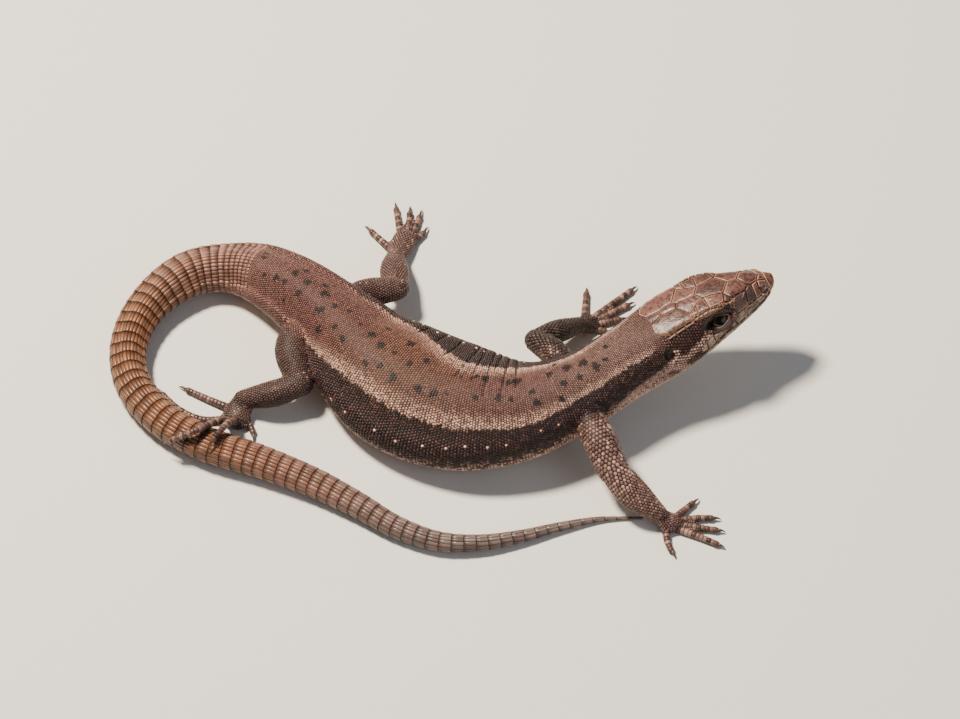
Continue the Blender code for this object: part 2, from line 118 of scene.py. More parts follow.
# %% [markdown]
# ## Reading the tables
#
# Blender has curve objects for this, but a formula is easier to ask for a point on the skin: at
# any distance, at any place round the body. Everything works on whole arrays at once, so that
# thousands of scales can be placed in a moment.

# %% Smooth values and the centre line
def unit(vectors):
    return vectors / np.linalg.norm(vectors, axis=-1, keepdims=True)


def along(table, distance):
    """Smooth values at distances, through a table of (distance, value)."""
    places, values = np.array(table, float).T
    slopes = np.gradient(values, places)
    distance = np.asarray(distance, float)
    at = np.clip(np.searchsorted(places, distance) - 1, 0, len(places) - 2)
    span = places[at + 1] - places[at]
    t = np.clip((distance - places[at]) / span, 0, 1)
    start = (2 * t**3 - 3 * t**2 + 1) * values[at] + (t**3 - 2 * t**2 + t) * span * slopes[at]
    end = (3 * t**2 - 2 * t**3) * values[at + 1] + (t**3 - t**2) * span * slopes[at + 1]
    return start + end


def centre_line(distance):
    x, y = (along(list(zip(DISTANCES, column)), distance) for column in zip(*ROUTE))
    return np.stack((x, y, along(AXIS_HEIGHT, distance)), axis=-1) + CENTRE


def body_frame(distance):
    """The centre line's points, the animal's left and its up, at distances from the snout."""
    distance = np.asarray(distance, float)
    before = centre_line(np.maximum(distance - FRAME_REACH, 0))
    forward = before - centre_line(np.minimum(distance + FRAME_REACH, TAIL_TIP))
    level = unit(np.cross((0.0, 0.0, 1.0), forward))
    upright = unit(np.cross(forward, level))
    lean = np.radians(along(LEAN, distance))[..., None]
    left = np.cos(lean) * level - np.sin(lean) * upright
    up = np.cos(lean) * upright + np.sin(lean) * level
    return centre_line(distance), left, up


print("the centre line at the shoulders in mm:", np.round(centre_line(30.0), 1).tolist())

# %% [markdown]
# ## A point on the body
#
# A section has eight landmarks, numbered from 0 on the middle of the back, over 2 at the edge of
# the crown and 4 where the body is widest, to 7 in the middle of the belly. A smooth curve runs
# through them. A landmark number with a sign, plus for the left and minus for the right, is half
# of a place's address. The other half is its distance from the snout.

# %% Sections of the body
LAST_MARK = 7


def half_section(distance, grow):
    """The section's landmarks as (sideways, height), with a mirrored one before and after."""
    width = along(HALF_WIDTH, distance) + grow
    middle = along(WIDEST, distance)
    rise = along(TOP, distance) + grow - middle
    fall = along(BOTTOM, distance) + grow + middle
    crown = along(CROWN, distance) * width
    drop = along(CROWN_DROP, distance)
    none = 0 * width
    marks = [
        (none, middle + rise),
        (0.54 * crown, middle + rise * (1 - 0.27 * drop)),
        (crown, middle + rise * (1 - drop)),
        (0.92 * width, middle + 0.4 * rise),
        (width, middle),
        (0.86 * width, middle - 0.52 * fall),
        (0.5 * width, middle - 0.87 * fall),
        (none, middle - fall),
    ]
    before = (-marks[1][0], marks[1][1])
    after = (-marks[-2][0], marks[-2][1])
    return np.array([before] + marks + [after])


def section_point(distance, mark, grow=0.0):
    """Sideways and height of the section's curve at a landmark number from 0 to 7."""
    marks = half_section(distance, grow)
    mark = np.clip(mark, 0, LAST_MARK)
    first = np.minimum(mark.astype(int), LAST_MARK - 1)
    t = mark - first
    a, b, c, d = (np.take_along_axis(marks, (first + k)[None, None], 0)[0] for k in range(4))
    return (
        a * (-t + 2 * t**2 - t**3) / 2
        + b * (2 - 5 * t**2 + 3 * t**3) / 2
        + c * (t + 4 * t**2 - 3 * t**3) / 2
        + d * (t**3 - t**2) / 2
    )


print("half width at the shoulders in mm:", round(float(section_point(30.0, np.array(4.0))[0]), 1))

# %% Points and outward directions
def body_point(distance, mark, grow=-COAT, lowest=COAT):
    """The point at a distance and a signed landmark number, never under the height lowest."""
    distance, mark = np.broadcast_arrays(np.asarray(distance, float), np.asarray(mark, float))
    sideways, height = section_point(distance, np.abs(mark), grow)
    centre, left, up = body_frame(distance)
    point = centre + (np.sign(mark) * sideways)[..., None] * left + height[..., None] * up
    point[..., 2] = np.maximum(point[..., 2], lowest)
    return point


def body_directions(distance, mark):
    """Backward along the body, sideways round it and outward from it, at each place."""
    side = np.where(np.asarray(mark) < 0, -1.0, 1.0)
    inner = np.clip(np.abs(mark), 0.05, LAST_MARK - 0.05)
    back = body_point(distance + 0.15, side * inner) - body_point(distance - 0.15, side * inner)
    round_it = body_point(distance, side * (inner + 0.05)) - body_point(distance, side * (inner - 0.05))
    out = unit(np.cross(round_it, back) * side[..., None])
    back = unit(back)
    return back, np.cross(out, back), out


sample = body_point(np.array((8.0, 44.0, 120.0)), np.array((0.0, -2.0, 4.0)))
print("a point on the head, the back and the tail, in mm:", np.round(sample, 1).tolist())

# %% [markdown]
# ## The sizes of the legs
#
# Each leg is three solids in the frame, so its skin follows the same joints. They are listed here
# once more as (x, y, z, radius), with the middle line of every toe.

# %% Joints of the legs
# Each leg's joints as (x, y, z, radius), before CENTRE is added, and each toe's middle line as
# (x, y, z) from the sole to the claw's tip, in order from the first toe to the fifth.
LEGS = {
    "right_fore": {
        "upper": [(12.4, -12.4, 6.3, 1.8), (13.9, -15.6, 6.3, 2.05), (15.6, -19.3, 5.0, 1.9)],
        "lower": [(15.6, -19.3, 5.0, 1.75), (17.9, -21.5, 3.5, 1.95), (21.1, -23.4, 1.75, 1.1)],
        "palm": [(21.1, -23.4, 1.4, 1.05), (22.3, -23.9, 0.8, 1.35), (23.0, -24.0, 0.65, 1.15)],
        "claw": 1.0,
        "toes": [
            [(21.8, -24.4, 0.48), (22.0, -26.6, 0.46), (22.9, -28.6, 0.36)],
            [(22.7, -24.4, 0.48), (25.5, -25.6, 0.46), (28.8, -27.2, 0.36)],
            [(22.9, -24.0, 0.48), (26.0, -24.5, 0.48), (28.9, -24.9, 0.36)],
            [(22.9, -23.6, 0.48), (25.8, -23.1, 0.48), (28.4, -23.1, 0.36)],
            [(22.8, -23.2, 0.48), (24.4, -21.6, 0.46), (25.9, -20.2, 0.36)],
        ],
    },
    "left_fore": {
        "upper": [(10.6, -6.6, 6.2, 1.8), (8.8, -3.2, 5.9, 1.75), (6.5, -0.6, 4.9, 1.35)],
        "lower": [(6.5, -0.6, 4.9, 1.25), (9.2, 1.6, 3.5, 1.5), (12.0, 3.9, 1.75, 1.05)],
        "palm": [(12.0, 3.9, 1.4, 1.05), (12.9, 4.7, 0.8, 1.35), (13.5, 5.2, 0.65, 1.15)],
        "claw": 1.0,
        "toes": [
            [(13.2, 4.2, 0.48), (14.7, 4.0, 0.46), (16.2, 3.5, 0.36)],
            [(13.4, 4.7, 0.48), (15.8, 5.3, 0.46), (18.0, 5.9, 0.36)],
            [(13.4, 5.0, 0.48), (16.2, 6.7, 0.48), (18.9, 8.3, 0.36)],
            [(13.2, 5.3, 0.48), (16.2, 8.0, 0.48), (19.2, 10.7, 0.36)],
            [(12.6, 5.3, 0.48), (12.8, 8.0, 0.46), (13.0, 10.6, 0.36)],
        ],
    },
    "right_hind": {
        "upper": [(-20.2, 3.2, 3.7, 2.1), (-22.4, -1.4, 4.2, 2.25), (-21.3, -6.2, 3.7, 1.6)],
        "lower": [(-21.3, -6.2, 3.7, 1.45), (-24.6, -7.0, 2.9, 1.7), (-28.4, -7.0, 1.8, 1.15)],
        "palm": [(-28.4, -7.0, 1.5, 1.2), (-28.9, -8.5, 0.95, 1.8), (-29.2, -9.5, 0.75, 1.7)],
        "claw": 1.2,
        "toes": [
            [(-28.2, -8.8, 0.48), (-27.1, -10.6, 0.46), (-26.9, -12.3, 0.36)],
            [(-29.0, -9.6, 0.8), (-29.5, -11.2, 3.1), (-30.7, -13.9, 5.1), (-32.2, -15.7, 4.1)],
            [(-29.7, -9.6, 0.8), (-30.6, -11.0, 3.2), (-32.3, -13.1, 5.1), (-34.6, -14.2, 4.8),
             (-37.5, -13.7, 2.4)],
            [(-30.1, -9.1, 0.48), (-34.0, -8.9, 0.48), (-37.0, -6.6, 0.48), (-38.8, -4.3, 0.36)],
            [(-29.6, -7.6, 0.48), (-33.0, -5.9, 0.48), (-36.2, -4.1, 0.36)],
        ],
    },
    "left_hind": {
        "upper": [(-17.4, 2.4, 4.0, 2.1), (-14.2, 6.2, 4.5, 2.0), (-9.9, 7.6, 4.1, 1.5)],
        "lower": [(-9.9, 7.6, 4.1, 1.4), (-10.4, 11.0, 3.0, 1.85), (-10.3, 14.1, 2.0, 1.15)],
        "palm": [(-10.3, 14.1, 1.6, 1.15), (-9.6, 16.3, 0.9, 1.55), (-9.1, 17.8, 0.7, 1.5)],
        "claw": 1.2,
        "toes": [
            [(-8.2, 17.2, 0.48), (-7.0, 18.5, 0.46), (-6.3, 19.8, 0.36)],
            [(-8.4, 18.0, 0.48), (-7.7, 20.2, 0.46), (-7.1, 22.4, 0.36)],
            [(-9.0, 18.3, 0.48), (-8.7, 20.6, 0.48), (-8.6, 23.0, 0.36)],
            [(-9.7, 18.0, 0.48), (-10.1, 20.8, 0.48), (-10.5, 23.6, 0.36)],
            [(-10.6, 15.8, 0.48), (-12.4, 17.8, 0.48), (-14.2, 19.9, 0.36)],
        ],
    },
}
print("legs:", *LEGS)
TOE_RADIUS = 0.52
TOE_TIP_RADIUS = 0.38
PALM_FLATNESS = 0.62
CLAW_RADIUS = 0.27
CLAW_GAP = 0.12
TOE_JOINTS = (0, 0.35, 0.7, 1)
TOE_LINE_STEPS = 40
LIMB_REACH = 0.2
LEG_COAT = 0.11
TOE_COAT = 0.07

# %% [markdown]
# ## A point on a limb
#
# A leg length or a toe is a tube along a smooth curve through its joints. A place on it is a
# distance along that curve and an angle round it, where 0 is up.

# %% Limb curves
def travelled(points):
    """The distance of each (x, y, z, ...) point from the first, along the line through them."""
    return np.cumsum([0] + [math.dist(a[:3], b[:3]) for a, b in zip(points, points[1:])])


def through(points, length):
    """The smooth curve through (x, y, z, ...) points, read at lengths along it."""
    places = travelled(points)
    return np.stack([along(list(zip(places, column)), length) for column in zip(*points)], axis=-1)


def limb_length(joints):
    return float(travelled(joints)[-1])


def side_and_up(forward):
    side = unit(np.cross((0.0, 0.0, 1.0), forward))
    return side, np.cross(forward, side)


def limb_frame(joints, length):
    """Centre, forward, side, up and radius of a limb at lengths along it."""
    here = through(joints, length)
    ahead = through(joints, np.minimum(length + LIMB_REACH, limb_length(joints)))[..., :3]
    behind = through(joints, np.maximum(length - LIMB_REACH, 0))[..., :3]
    forward = unit(ahead - behind)
    return here[..., :3] + CENTRE, forward, *side_and_up(forward), here[..., 3]


def limb_point(joints, length, angle, grow=0.0, flatness=1.0, lowest=FLOOR):
    centre, forward, side, up, radius = limb_frame(joints, length)
    radius = (radius + grow)[..., None]
    angle = np.asarray(angle, float)[..., None]
    point = centre + radius * (np.sin(angle) * side + flatness * np.cos(angle) * up)
    point[..., 2] = np.maximum(point[..., 2], lowest)
    return point


print("the right thigh's length in mm:", round(limb_length(LEGS["right_hind"]["upper"]), 1))

# %% Joints of the toes
def toe_joints(line, claw_length):
    """A toe's joints as (x, y, z, radius), from the sole to just short of its claw."""
    steps = np.linspace(0, limb_length(line), TOE_LINE_STEPS + 1)
    curve = through(line, steps)
    lengths = travelled(curve)
    toe_end = lengths[-1] - claw_length - CLAW_GAP - TOE_TIP_RADIUS
    joints = []
    for part in TOE_JOINTS:
        place = [float(np.interp(part * toe_end, lengths, column)) for column in curve.T]
        joints.append((*place, TOE_RADIUS + part * (TOE_TIP_RADIUS - TOE_RADIUS)))
    return joints


TOES = {name: [toe_joints(line, leg["claw"]) for line in leg["toes"]] for name, leg in LEGS.items()}
print("toe lengths in mm:", {n: [round(limb_length(t), 1) for t in toes] for n, toes in TOES.items()})

# %% [markdown]
# ## Making a tube
#
# A bmesh circle with a filled end is extruded ring by ring, and each new ring is moved to its
# place. The same helper makes the body, a leg, a toe, a claw and even a single head shield, since
# each of them is a stack of rings.

# %% The ring-by-ring extrusion
def sweep(rings):
    """A closed bmesh through rings of equal count, given in millimetres."""
    bm = bmesh.new()
    bmesh.ops.create_circle(bm, cap_ends=True, segments=len(rings[0]), radius=1)
    cap = bm.faces[:][0]
    for vert, point in zip(cap.verts, rings[0]):
        vert.co = Vector(point) * MM
    for number, ring in enumerate(rings[1:]):
        made = bmesh.ops.extrude_face_region(bm, geom=[cap])
        if number > 0:
            bmesh.ops.delete(bm, geom=[cap], context="FACES_ONLY")
        cap = next(item for item in made["geom"] if isinstance(item, bmesh.types.BMFace))
        for vert, point in zip(cap.verts, ring):
            vert.co = Vector(point) * MM
    bmesh.ops.recalc_face_normals(bm, faces=bm.faces[:])
    return bm


# %% Objects and rings
END_TURNS = (0.65 * math.pi / 2, 0.25 * math.pi / 2)


def linked(name, data):
    """A new object in the scene."""
    made = bpy.data.objects.new(name, data)
    bpy.context.scene.collection.objects.link(made)
    return made


def add_object(name, bm, material=None):
    mesh = bpy.data.meshes.new(name)
    bm.to_mesh(mesh)
    bm.free()
    mesh.shade_smooth()
    if material:
        mesh.materials.append(material)
    return linked(name, mesh)


def ring_angles(count):
    return np.linspace(0, 2 * math.pi, count, endpoint=False)


def ring_about(centre, angles, side, up):
    """An ellipse of points, from up toward side."""
    return centre + np.outer(np.sin(angles), side) + np.outer(np.cos(angles), up)


def limb_tube(joints, steps, sides, grow, flatness=1.0):
    """Rings along a limb, with a round end at both ends."""
    angles = ring_angles(sides)
    places = np.linspace(0, limb_length(joints), steps)
    rings = [limb_point(joints, at, angles, grow, flatness) for at in places]
    for at, sign in ((places[0], -1), (places[-1], 1)):
        centre, forward, side, up, radius = limb_frame(joints, at)
        for turn in END_TURNS:
            width = (radius + grow) * math.sin(turn)
            past = centre + sign * (radius + grow) * flatness * math.cos(turn) * forward
            ring = ring_about(past, angles, width * side, width * flatness * up)
            rings = [ring] + rings if sign < 0 else rings + [ring]
    rings = np.array(rings)
    rings[..., 2] = np.maximum(rings[..., 2], FLOOR)
    return rings


print("tubes to gather:", 1 + sum(3 + len(leg["toes"]) for leg in LEGS.values()))

# %% [markdown]
# ## The flesh as one skin
#
# On the animal a single skin runs from the lips to the claws. The tubes of the body, legs, palms
# and toes are gathered in one mesh, and a voxel remesh turns them into one closed surface with
# soft creases where a limb meets the body. A few rounds of smoothing take the steps off it. The
# remesh comes first, because it would erase anything finer than its voxels.

# %% Gather the tubes and remesh them
VOXEL = 0.27
SMOOTHING = 4
BODY_STEP = 0.8
BODY_SIDES = 56


def body_tube():
    """Rings of the body from snout to tail tip, closer together on the snout."""
    nose = [0.0, 0.2, 0.5, 0.9, 1.4]
    places = nose + list(np.linspace(2.0, TAIL_TIP, round((TAIL_TIP - 2.0) / BODY_STEP)))
    marks = np.linspace(-LAST_MARK, LAST_MARK, BODY_SIDES, endpoint=False)
    return [body_point(place, marks) for place in places]


def flesh():
    """All tubes of flesh in one object."""
    tubes = [body_tube()]
    for name, leg in LEGS.items():
        tubes += [limb_tube(leg["upper"], 14, 20, -LEG_COAT), limb_tube(leg["lower"], 14, 20, -LEG_COAT)]
        tubes.append(limb_tube(leg["palm"], 8, 20, -TOE_COAT, PALM_FLATNESS))
        tubes += [limb_tube(toe, 20, 12, -TOE_COAT / 2) for toe in TOES[name]]
    parts = [add_object(f"tube_{number}", sweep(tube)) for number, tube in enumerate(tubes)]
    with bpy.context.temp_override(active_object=parts[0], selected_editable_objects=parts):
        bpy.ops.object.join()
    return parts[0]


skin = flesh()
print("tubes in one mesh:", len(skin.data.vertices), "vertices")

# %% Remesh them to one skin
def apply_modifiers(piece):
    graph = bpy.context.evaluated_depsgraph_get()
    mesh = bpy.data.meshes.new_from_object(piece.evaluated_get(graph))
    old = piece.data
    piece.modifiers.clear()
    piece.data = mesh
    bpy.data.meshes.remove(old)


def points_of(mesh, name="vertices", what="co"):
    values = np.empty(len(getattr(mesh, name)) * 3)
    getattr(mesh, name).foreach_get(what, values)
    return values.reshape(-1, 3)


skin.name = "skin"
remesh = skin.modifiers.new("one skin", "REMESH")
remesh.mode = "VOXEL"
remesh.voxel_size = VOXEL * MM
remesh.use_smooth_shade = True
smooth = skin.modifiers.new("smooth", "SMOOTH")
smooth.factor = 0.5
smooth.iterations = SMOOTHING
apply_modifiers(skin)
skin.data.name = "skin"
print("skin:", len(skin.data.vertices), "vertices,", len(skin.data.polygons), "faces")

# %% [markdown]
# ## Folds, ear openings and eye sockets
#
# The trunk bends to the left, so its skin is squeezed into a few folds behind the left shoulder
# that run up over the back. Each is a narrow groove pressed into the skin along a line, with the
# scales beside it darkened as painted shade. An ear is a shallow pit with a bare drum at its bottom,
# dark with the painted shade of the bare skin. Round each eyeball the skin is pressed in too, which
# leaves an almond-shaped socket for the lids.

# %% The places of the eyes
EYE_PLACE = (7.6, 2.75, 0.4)
EYE_RADIUS = 1.45
EYE_LIFT = math.radians(37)
OPENING = (1.28, 0.66)
OPENING_POWER = 1.6
OPENING_SHIFT = 0.16
FAR_AWAY = 9.0


def eye_frame(side):
    """Centre of an eye, and its directions toward the tail, up and out along its gaze."""
    centre, left, up = body_frame(EYE_PLACE[0])
    centre = centre + side * EYE_PLACE[1] * left + EYE_PLACE[2] * up
    gaze = math.cos(EYE_LIFT) * side * left + math.sin(EYE_LIFT) * up
    tail = -np.cross(left, up)
    gaze = unit(gaze + 0.05 * tail)
    tail = unit(tail - (tail @ gaze) * gaze)
    raised = np.cross(gaze, tail) * side
    return centre, tail, raised * math.copysign(1, raised[2]), gaze


def lid_frame(side):
    """The eye's frame turned a little to the tail, where the opening lies."""
    centre, tail, raised, gaze = eye_frame(side)
    gaze, tail = unit(gaze + OPENING_SHIFT * tail), unit(tail - OPENING_SHIFT * gaze)
    return centre, tail, raised, gaze


def rim_reach(around):
    """How far the opening's rim is from its middle, at an angle round it."""
    wide, high = OPENING
    power = OPENING_POWER
    return (np.abs(np.cos(around) / wide) ** power + np.abs(np.sin(around) / high) ** power) ** (-1 / power)


def beyond_rim(points, side):
    """How far points are outside the opening's rim, seen along the gaze, and their height there."""
    centre, tail, raised, gaze = lid_frame(side)
    offset = points - centre
    along_it, above = offset @ tail, offset @ raised
    beyond = np.hypot(along_it, above) - rim_reach(np.arctan2(above, along_it))
    height = offset @ gaze
    return np.where(height > -0.6, beyond, FAR_AWAY), height


print("the left eye looks along", np.round(eye_frame(1)[3], 2).tolist())

# %% Lines of the folds, and the ears
FOLDS = [
    [(39.3, 3.3), (39.8, 2.1), (41.0, 0.4)], [(38.2, 3.3), (38.6, 1.7), (39.0, 0.4)],
    [(36.6, 3.4), (37.0, 1.7), (37.2, -0.3)], [(33.9, 3.4), (34.4, 2.2), (35.2, -0.3)],
    [(32.3, 3.4), (32.8, 2.5), (33.4, 0.1)], [(42.4, 3.3), (43.2, 1.9), (43.9, 1.2)],
    [(45.6, 3.2), (46.4, 2.0)], [(49.0, 3.2), (49.8, 2.1)], [(35.4, 3.4), (35.9, 2.0), (36.3, 1.1)],
    [(25.4, 4.6), (25.0, 3.6), (25.6, 2.6)], [(27.4, 4.6), (27.0, 3.4)],
    [(25.4, -4.6), (25.0, -3.6), (25.6, -2.7)], [(27.4, -4.6), (27.0, -3.4)],
]
FOLD_DEPTH = 0.17
FOLD_HALF_WIDTH = 0.2
EAR_PLACE = (15.2, 3.0)
EAR_RADII = (0.7, 0.95)
EAR_DEPTH = 0.55
LINE_POINTS = 120


def smooth_line(places):
    """Closely spaced points on the skin through (distance, signed landmark) places."""
    fine = np.linspace(0, len(places) - 1, LINE_POINTS)
    return body_point(*(along(list(enumerate(column)), fine) for column in zip(*places)))


def step(low, high, value):
    t = np.clip((value - low) / (high - low), 0, 1)
    return t * t * (3 - 2 * t)


def tree_of(points):
    tree = KDTree(len(points))
    for number, point in enumerate(points):
        tree.insert(point, number)
    tree.balance()
    return tree


def gap_to(tree, points):
    return np.array([tree.find(point)[2] for point in points])


fold_tree = tree_of(np.concatenate([smooth_line(fold) for fold in FOLDS]))


def ear_reach(points, side):
    """How far points are from the middle of an ear, where 1 is its rim."""
    place = EAR_PLACE[0], side * EAR_PLACE[1]
    back, sideways, _ = body_directions(*place)
    offset = points - body_point(*place)
    near = np.linalg.norm(offset, axis=1) < 2.5
    return np.where(near, np.hypot(offset @ back / EAR_RADII[0], offset @ sideways / EAR_RADII[1]), FAR_AWAY)


print("folds:", len(FOLDS))

# %% Press folds, ears and sockets into the skin
places = points_of(skin.data) / MM
normals = points_of(skin.data, "vertex_normals", "vector")
push = FOLD_DEPTH * np.exp(-((gap_to(fold_tree, places) / FOLD_HALF_WIDTH) ** 2))
for side in (-1, 1):
    push += EAR_DEPTH * (1 - step(0.55, 1.0, ear_reach(places, side)))
places = places - normals * push[:, None]
for side in (-1, 1):
    beyond, height = beyond_rim(places, side)
    centre, _, _, gaze = lid_frame(side)
    radial = np.linalg.norm(places - centre - height[:, None] * gaze, axis=1)
    floor_of_socket = np.sqrt(np.maximum((EYE_RADIUS - 0.1) ** 2 - radial**2, 0.0)) - 0.15
    inside_rim = (1 - step(0.10, 0.42, beyond)) * (height > floor_of_socket)
    places = places - ((height - floor_of_socket) * inside_rim)[:, None] * gaze
skin.data.vertices.foreach_set("co", (places * MM).reshape(-1))
skin.data.update()
print("deepest push in mm:", round(float(push.max()), 2))


# %% [markdown]
# ## Colour by markings
#
# A lizard's pattern belongs to its scales: each scale has one colour, and the pattern is read from
# thousands of them. So every scale carries a few numbers from 0 to 1, such as how much it belongs
# to the dark flank or the pale belly, and one material turns them to colour. The skin under the
# scales carries the same numbers, so nothing else is needed to match the two.

# %% The names of the markings and a node helper
MARKS = ("head", "tail", "grey", "limb", "flank", "belly", "pale", "dark", "vary")


def linear(colour):
    """The linear colour of an sRGB hex value."""
    parts = [int(colour[k:k + 2], 16) / 255 for k in (1, 3, 5)]
    return (*[p / 12.92 if p <= 0.04045 else ((p + 0.055) / 1.055) ** 2.4 for p in parts], 1.0)


def feed(tree, node, inputs):
    """Gives a node its inputs: another node's output socket, to link, or a plain value."""
    for name, value in inputs.items():
        if isinstance(value, bpy.types.NodeSocket):
            tree.links.new(value, node.inputs[name])
        else:
            node.inputs[name].default_value = value
    return node


def add_node(tree, kind, settings=None, inputs=None):
    node = tree.nodes.new(kind)
    for name, value in (settings or {}).items():
        setattr(node, name, value)
    return feed(tree, node, inputs or {})


def blank_material(name):
    material = bpy.data.materials.new(name)
    material.use_nodes = True
    return material, material.node_tree, material.node_tree.nodes["Principled BSDF"]


print("markings of a scale:", *MARKS)

# %% [markdown]
# ## Scaly skin
#
# Reptile scales are thin plates of keratin, satin where they are worn, with an index of refraction
# of about 1.54. Each scale is darkened toward its sunk edge, and the skin between scales even more:
# this is painted shade in the seams. The colours sit under the horn, so the gloss is the same on
# dark and pale scales. A fine noise, about a tenth of a millimetre, breaks the gloss.
# Small scales are finely ridged, which takes the shine off them and keeps the dark ones dark.

# %% Pigments and noises
HORN_IOR = 1.54
# The pigment for the seams is painted shade: the dark that falls between scales.
PIGMENT = {
    "back": "#714740", "head": "#623e36", "tail": "#734b33", "grey": "#5f5553", "limb": "#5b423c",
    "flank": "#271817", "belly": "#b9a28a", "pale": "#e2b7a3", "dark": "#1a1110",
    "seam_shade": "#140d0c", "rim": "#c8977c", "fleck": "#2a1816",
}
# Noises as (scale, detail), with scales in waves per metre.
NOISES = {"mottle": (900.0, 3.0), "grain": (6000.0, 2.0), "speckle": (2300.0, 4.0), "patch": (420.0, 1.0)}
GRAIN_DEPTH = 0.00003
SPECKLE_DEPTH = -0.00010
print("pigments:", len(PIGMENT), "noises:", len(NOISES))

# %% One material for every scaly surface
def scaly_material(name, seam_shade, roughness, bump, fleck=0.0, rim=0.0, shine=0.3):
    """Scaly horn: its markings mixed to one colour, with painted shade in the seams between scales.

    The shares fleck and rim add dark flecks, and pale lines along the edges.
    """
    material, tree, shader = blank_material(name)
    read = {
        mark: add_node(tree, "ShaderNodeAttribute", {"attribute_name": mark}).outputs["Fac"]
        for mark in MARKS + ("crest",)
    }
    place = add_node(tree, "ShaderNodeTexCoord").outputs["Object"]
    noise = {}
    for kind, (scale, detail) in NOISES.items():
        inputs = {"Vector": place, "Scale": scale, "Detail": detail}
        noise[kind] = add_node(tree, "ShaderNodeTexNoise", None, inputs).outputs["Fac"]
    smooth = {"interpolation_type": "SMOOTHSTEP"}
    steps = {
        "speckled": (noise["speckle"], 0.47, 0.60, 0.0, fleck),
        "inward": (read["crest"], 0.28, 0.52, 0.0, 1.0),
        "outward": (read["crest"], 0.60, 0.90, rim, 0.0),
        "broken": (noise["patch"], 0.38, 0.50, 0.15, 1.0),
        # Painted shade: the colour darkens toward a scale's sunk edge, where its crest is low.
        "sunk_edge_shade": (read["crest"], 0.08, 0.50 if rim else 1.0, seam_shade, 0.0),
    }
    for kind, values in steps.items():
        inputs = dict(zip(("Value", "From Min", "From Max", "To Min", "To Max"), values))
        steps[kind] = add_node(tree, "ShaderNodeMapRange", smooth, inputs).outputs[0]
    line = steps["inward"]
    for other in (steps["outward"], steps["broken"]):
        line = add_node(tree, "ShaderNodeMath", {"operation": "MULTIPLY"}, {0: line, 1: other}).outputs[0]
    tone = 0.47
    for value, share in ((read["vary"], 0.66), (noise["mottle"], 0.40)):
        inputs = {0: value, 1: share, 2: tone}
        tone = add_node(tree, "ShaderNodeMath", {"operation": "MULTIPLY_ADD"}, inputs).outputs[0]
    layers = [(read[mark], mark) for mark in MARKS[:-1]]
    if fleck:
        layers += [(steps["speckled"], "fleck"), (line, "rim")]
    colour = linear(PIGMENT["back"])
    # The last layer is the painted shade of the seams, over the colour scaled by its tone.
    for share, pigment in layers + [(steps["sunk_edge_shade"], "seam_shade")]:
        if pigment == "seam_shade":
            inputs = {"Vector": colour, "Scale": tone}
            colour = add_node(tree, "ShaderNodeVectorMath", {"operation": "SCALE"}, inputs).outputs[0]
        inputs = {"Factor": share, 6: colour, 7: linear(PIGMENT[pigment])}
        colour = add_node(tree, "ShaderNodeMix", {"data_type": "RGBA"}, inputs).outputs[2]
    inputs = {"Value": noise["grain"], "To Min": roughness - 0.10, "To Max": roughness + 0.14}
    gloss = add_node(tree, "ShaderNodeMapRange", None, inputs)
    inputs = {"Height": noise["grain"], "Strength": bump, "Distance": GRAIN_DEPTH}
    relief = add_node(tree, "ShaderNodeBump", None, inputs)
    if fleck:
        inputs = {"Height": noise["speckle"], "Strength": 0.8, "Distance": SPECKLE_DEPTH}
        relief = add_node(tree, "ShaderNodeBump", None, inputs | {"Normal": relief.outputs[0]})
    inputs = {"Base Color": colour, "Roughness": gloss.outputs[0], "Normal": relief.outputs[0]}
    feed(tree, shader, inputs | {"IOR": HORN_IOR, "Specular IOR Level": shine})
    return material


# Each material's share of painted shade in its seams. The bare skin carries no crests, so all of it takes
# that painted shade.
scale_horn = scaly_material("granular scales", seam_shade=0.94, roughness=0.33, bump=0.35, shine=0.26)
shield_horn = scaly_material(
    "head shields", seam_shade=0.85, roughness=0.36, bump=0.45, fleck=0.75, rim=0.75, shine=0.45
)
shaded_bare_skin = scaly_material("skin between scales", seam_shade=0.85, roughness=0.55, bump=0.5)
print("scaly materials:", scale_horn.name, "/", shield_horn.name, "/", shaded_bare_skin.name)



# %% [markdown]
# ## Scales by the thousand
#
# One scale is modelled once, as a low stack of rings from the sweep above, in a unit size. Arrays
# then copy it to every root at once: a root has a place, a direction of lie, an outward direction
# and a size. Real mesh is kept to a few dozen faces a scale, since there are thousands. Each
# scale also gets a small patch of a UV map, at its root's place on the unrolled skin.

# %% Unit scales
PATCH = 0.003


def closed_arrays(rings):
    """The points and triangles of a closed stack of rings, as arrays in metres."""
    bm = sweep(rings)
    bmesh.ops.triangulate(bm, faces=bm.faces[:])
    points = np.array([vert.co[:] for vert in bm.verts])
    triangles = np.array([[vert.index for vert in face.verts] for face in bm.faces])
    bm.free()
    return points, triangles


def unit_scale(sides, rings, lean):
    """A scale as (points, triangles): rings of (radius, height), pushed backward by lean at the top."""
    turns = ring_angles(sides) + math.pi / sides
    stack = []
    for radius, height in rings:
        ahead = radius * np.cos(turns) + lean * max(height, 0)
        stack.append(np.stack((ahead, radius * np.sin(turns), np.full(sides, height)), axis=1) / MM)
    return closed_arrays(stack)


granule = unit_scale(6, [(1.0, -0.5), (0.96, 0.22), (0.54, 0.95)], 0.18)
bead = unit_scale(7, [(1.0, -0.5), (0.97, 0.25), (0.72, 0.78), (0.30, 1.0)], 0.08)
print("triangles in a granule:", len(granule[1]), "in a bead:", len(bead[1]))

# %% Copies at every root
MOST_TRIANGLES = 190000
covered = []
coat_shapes = []


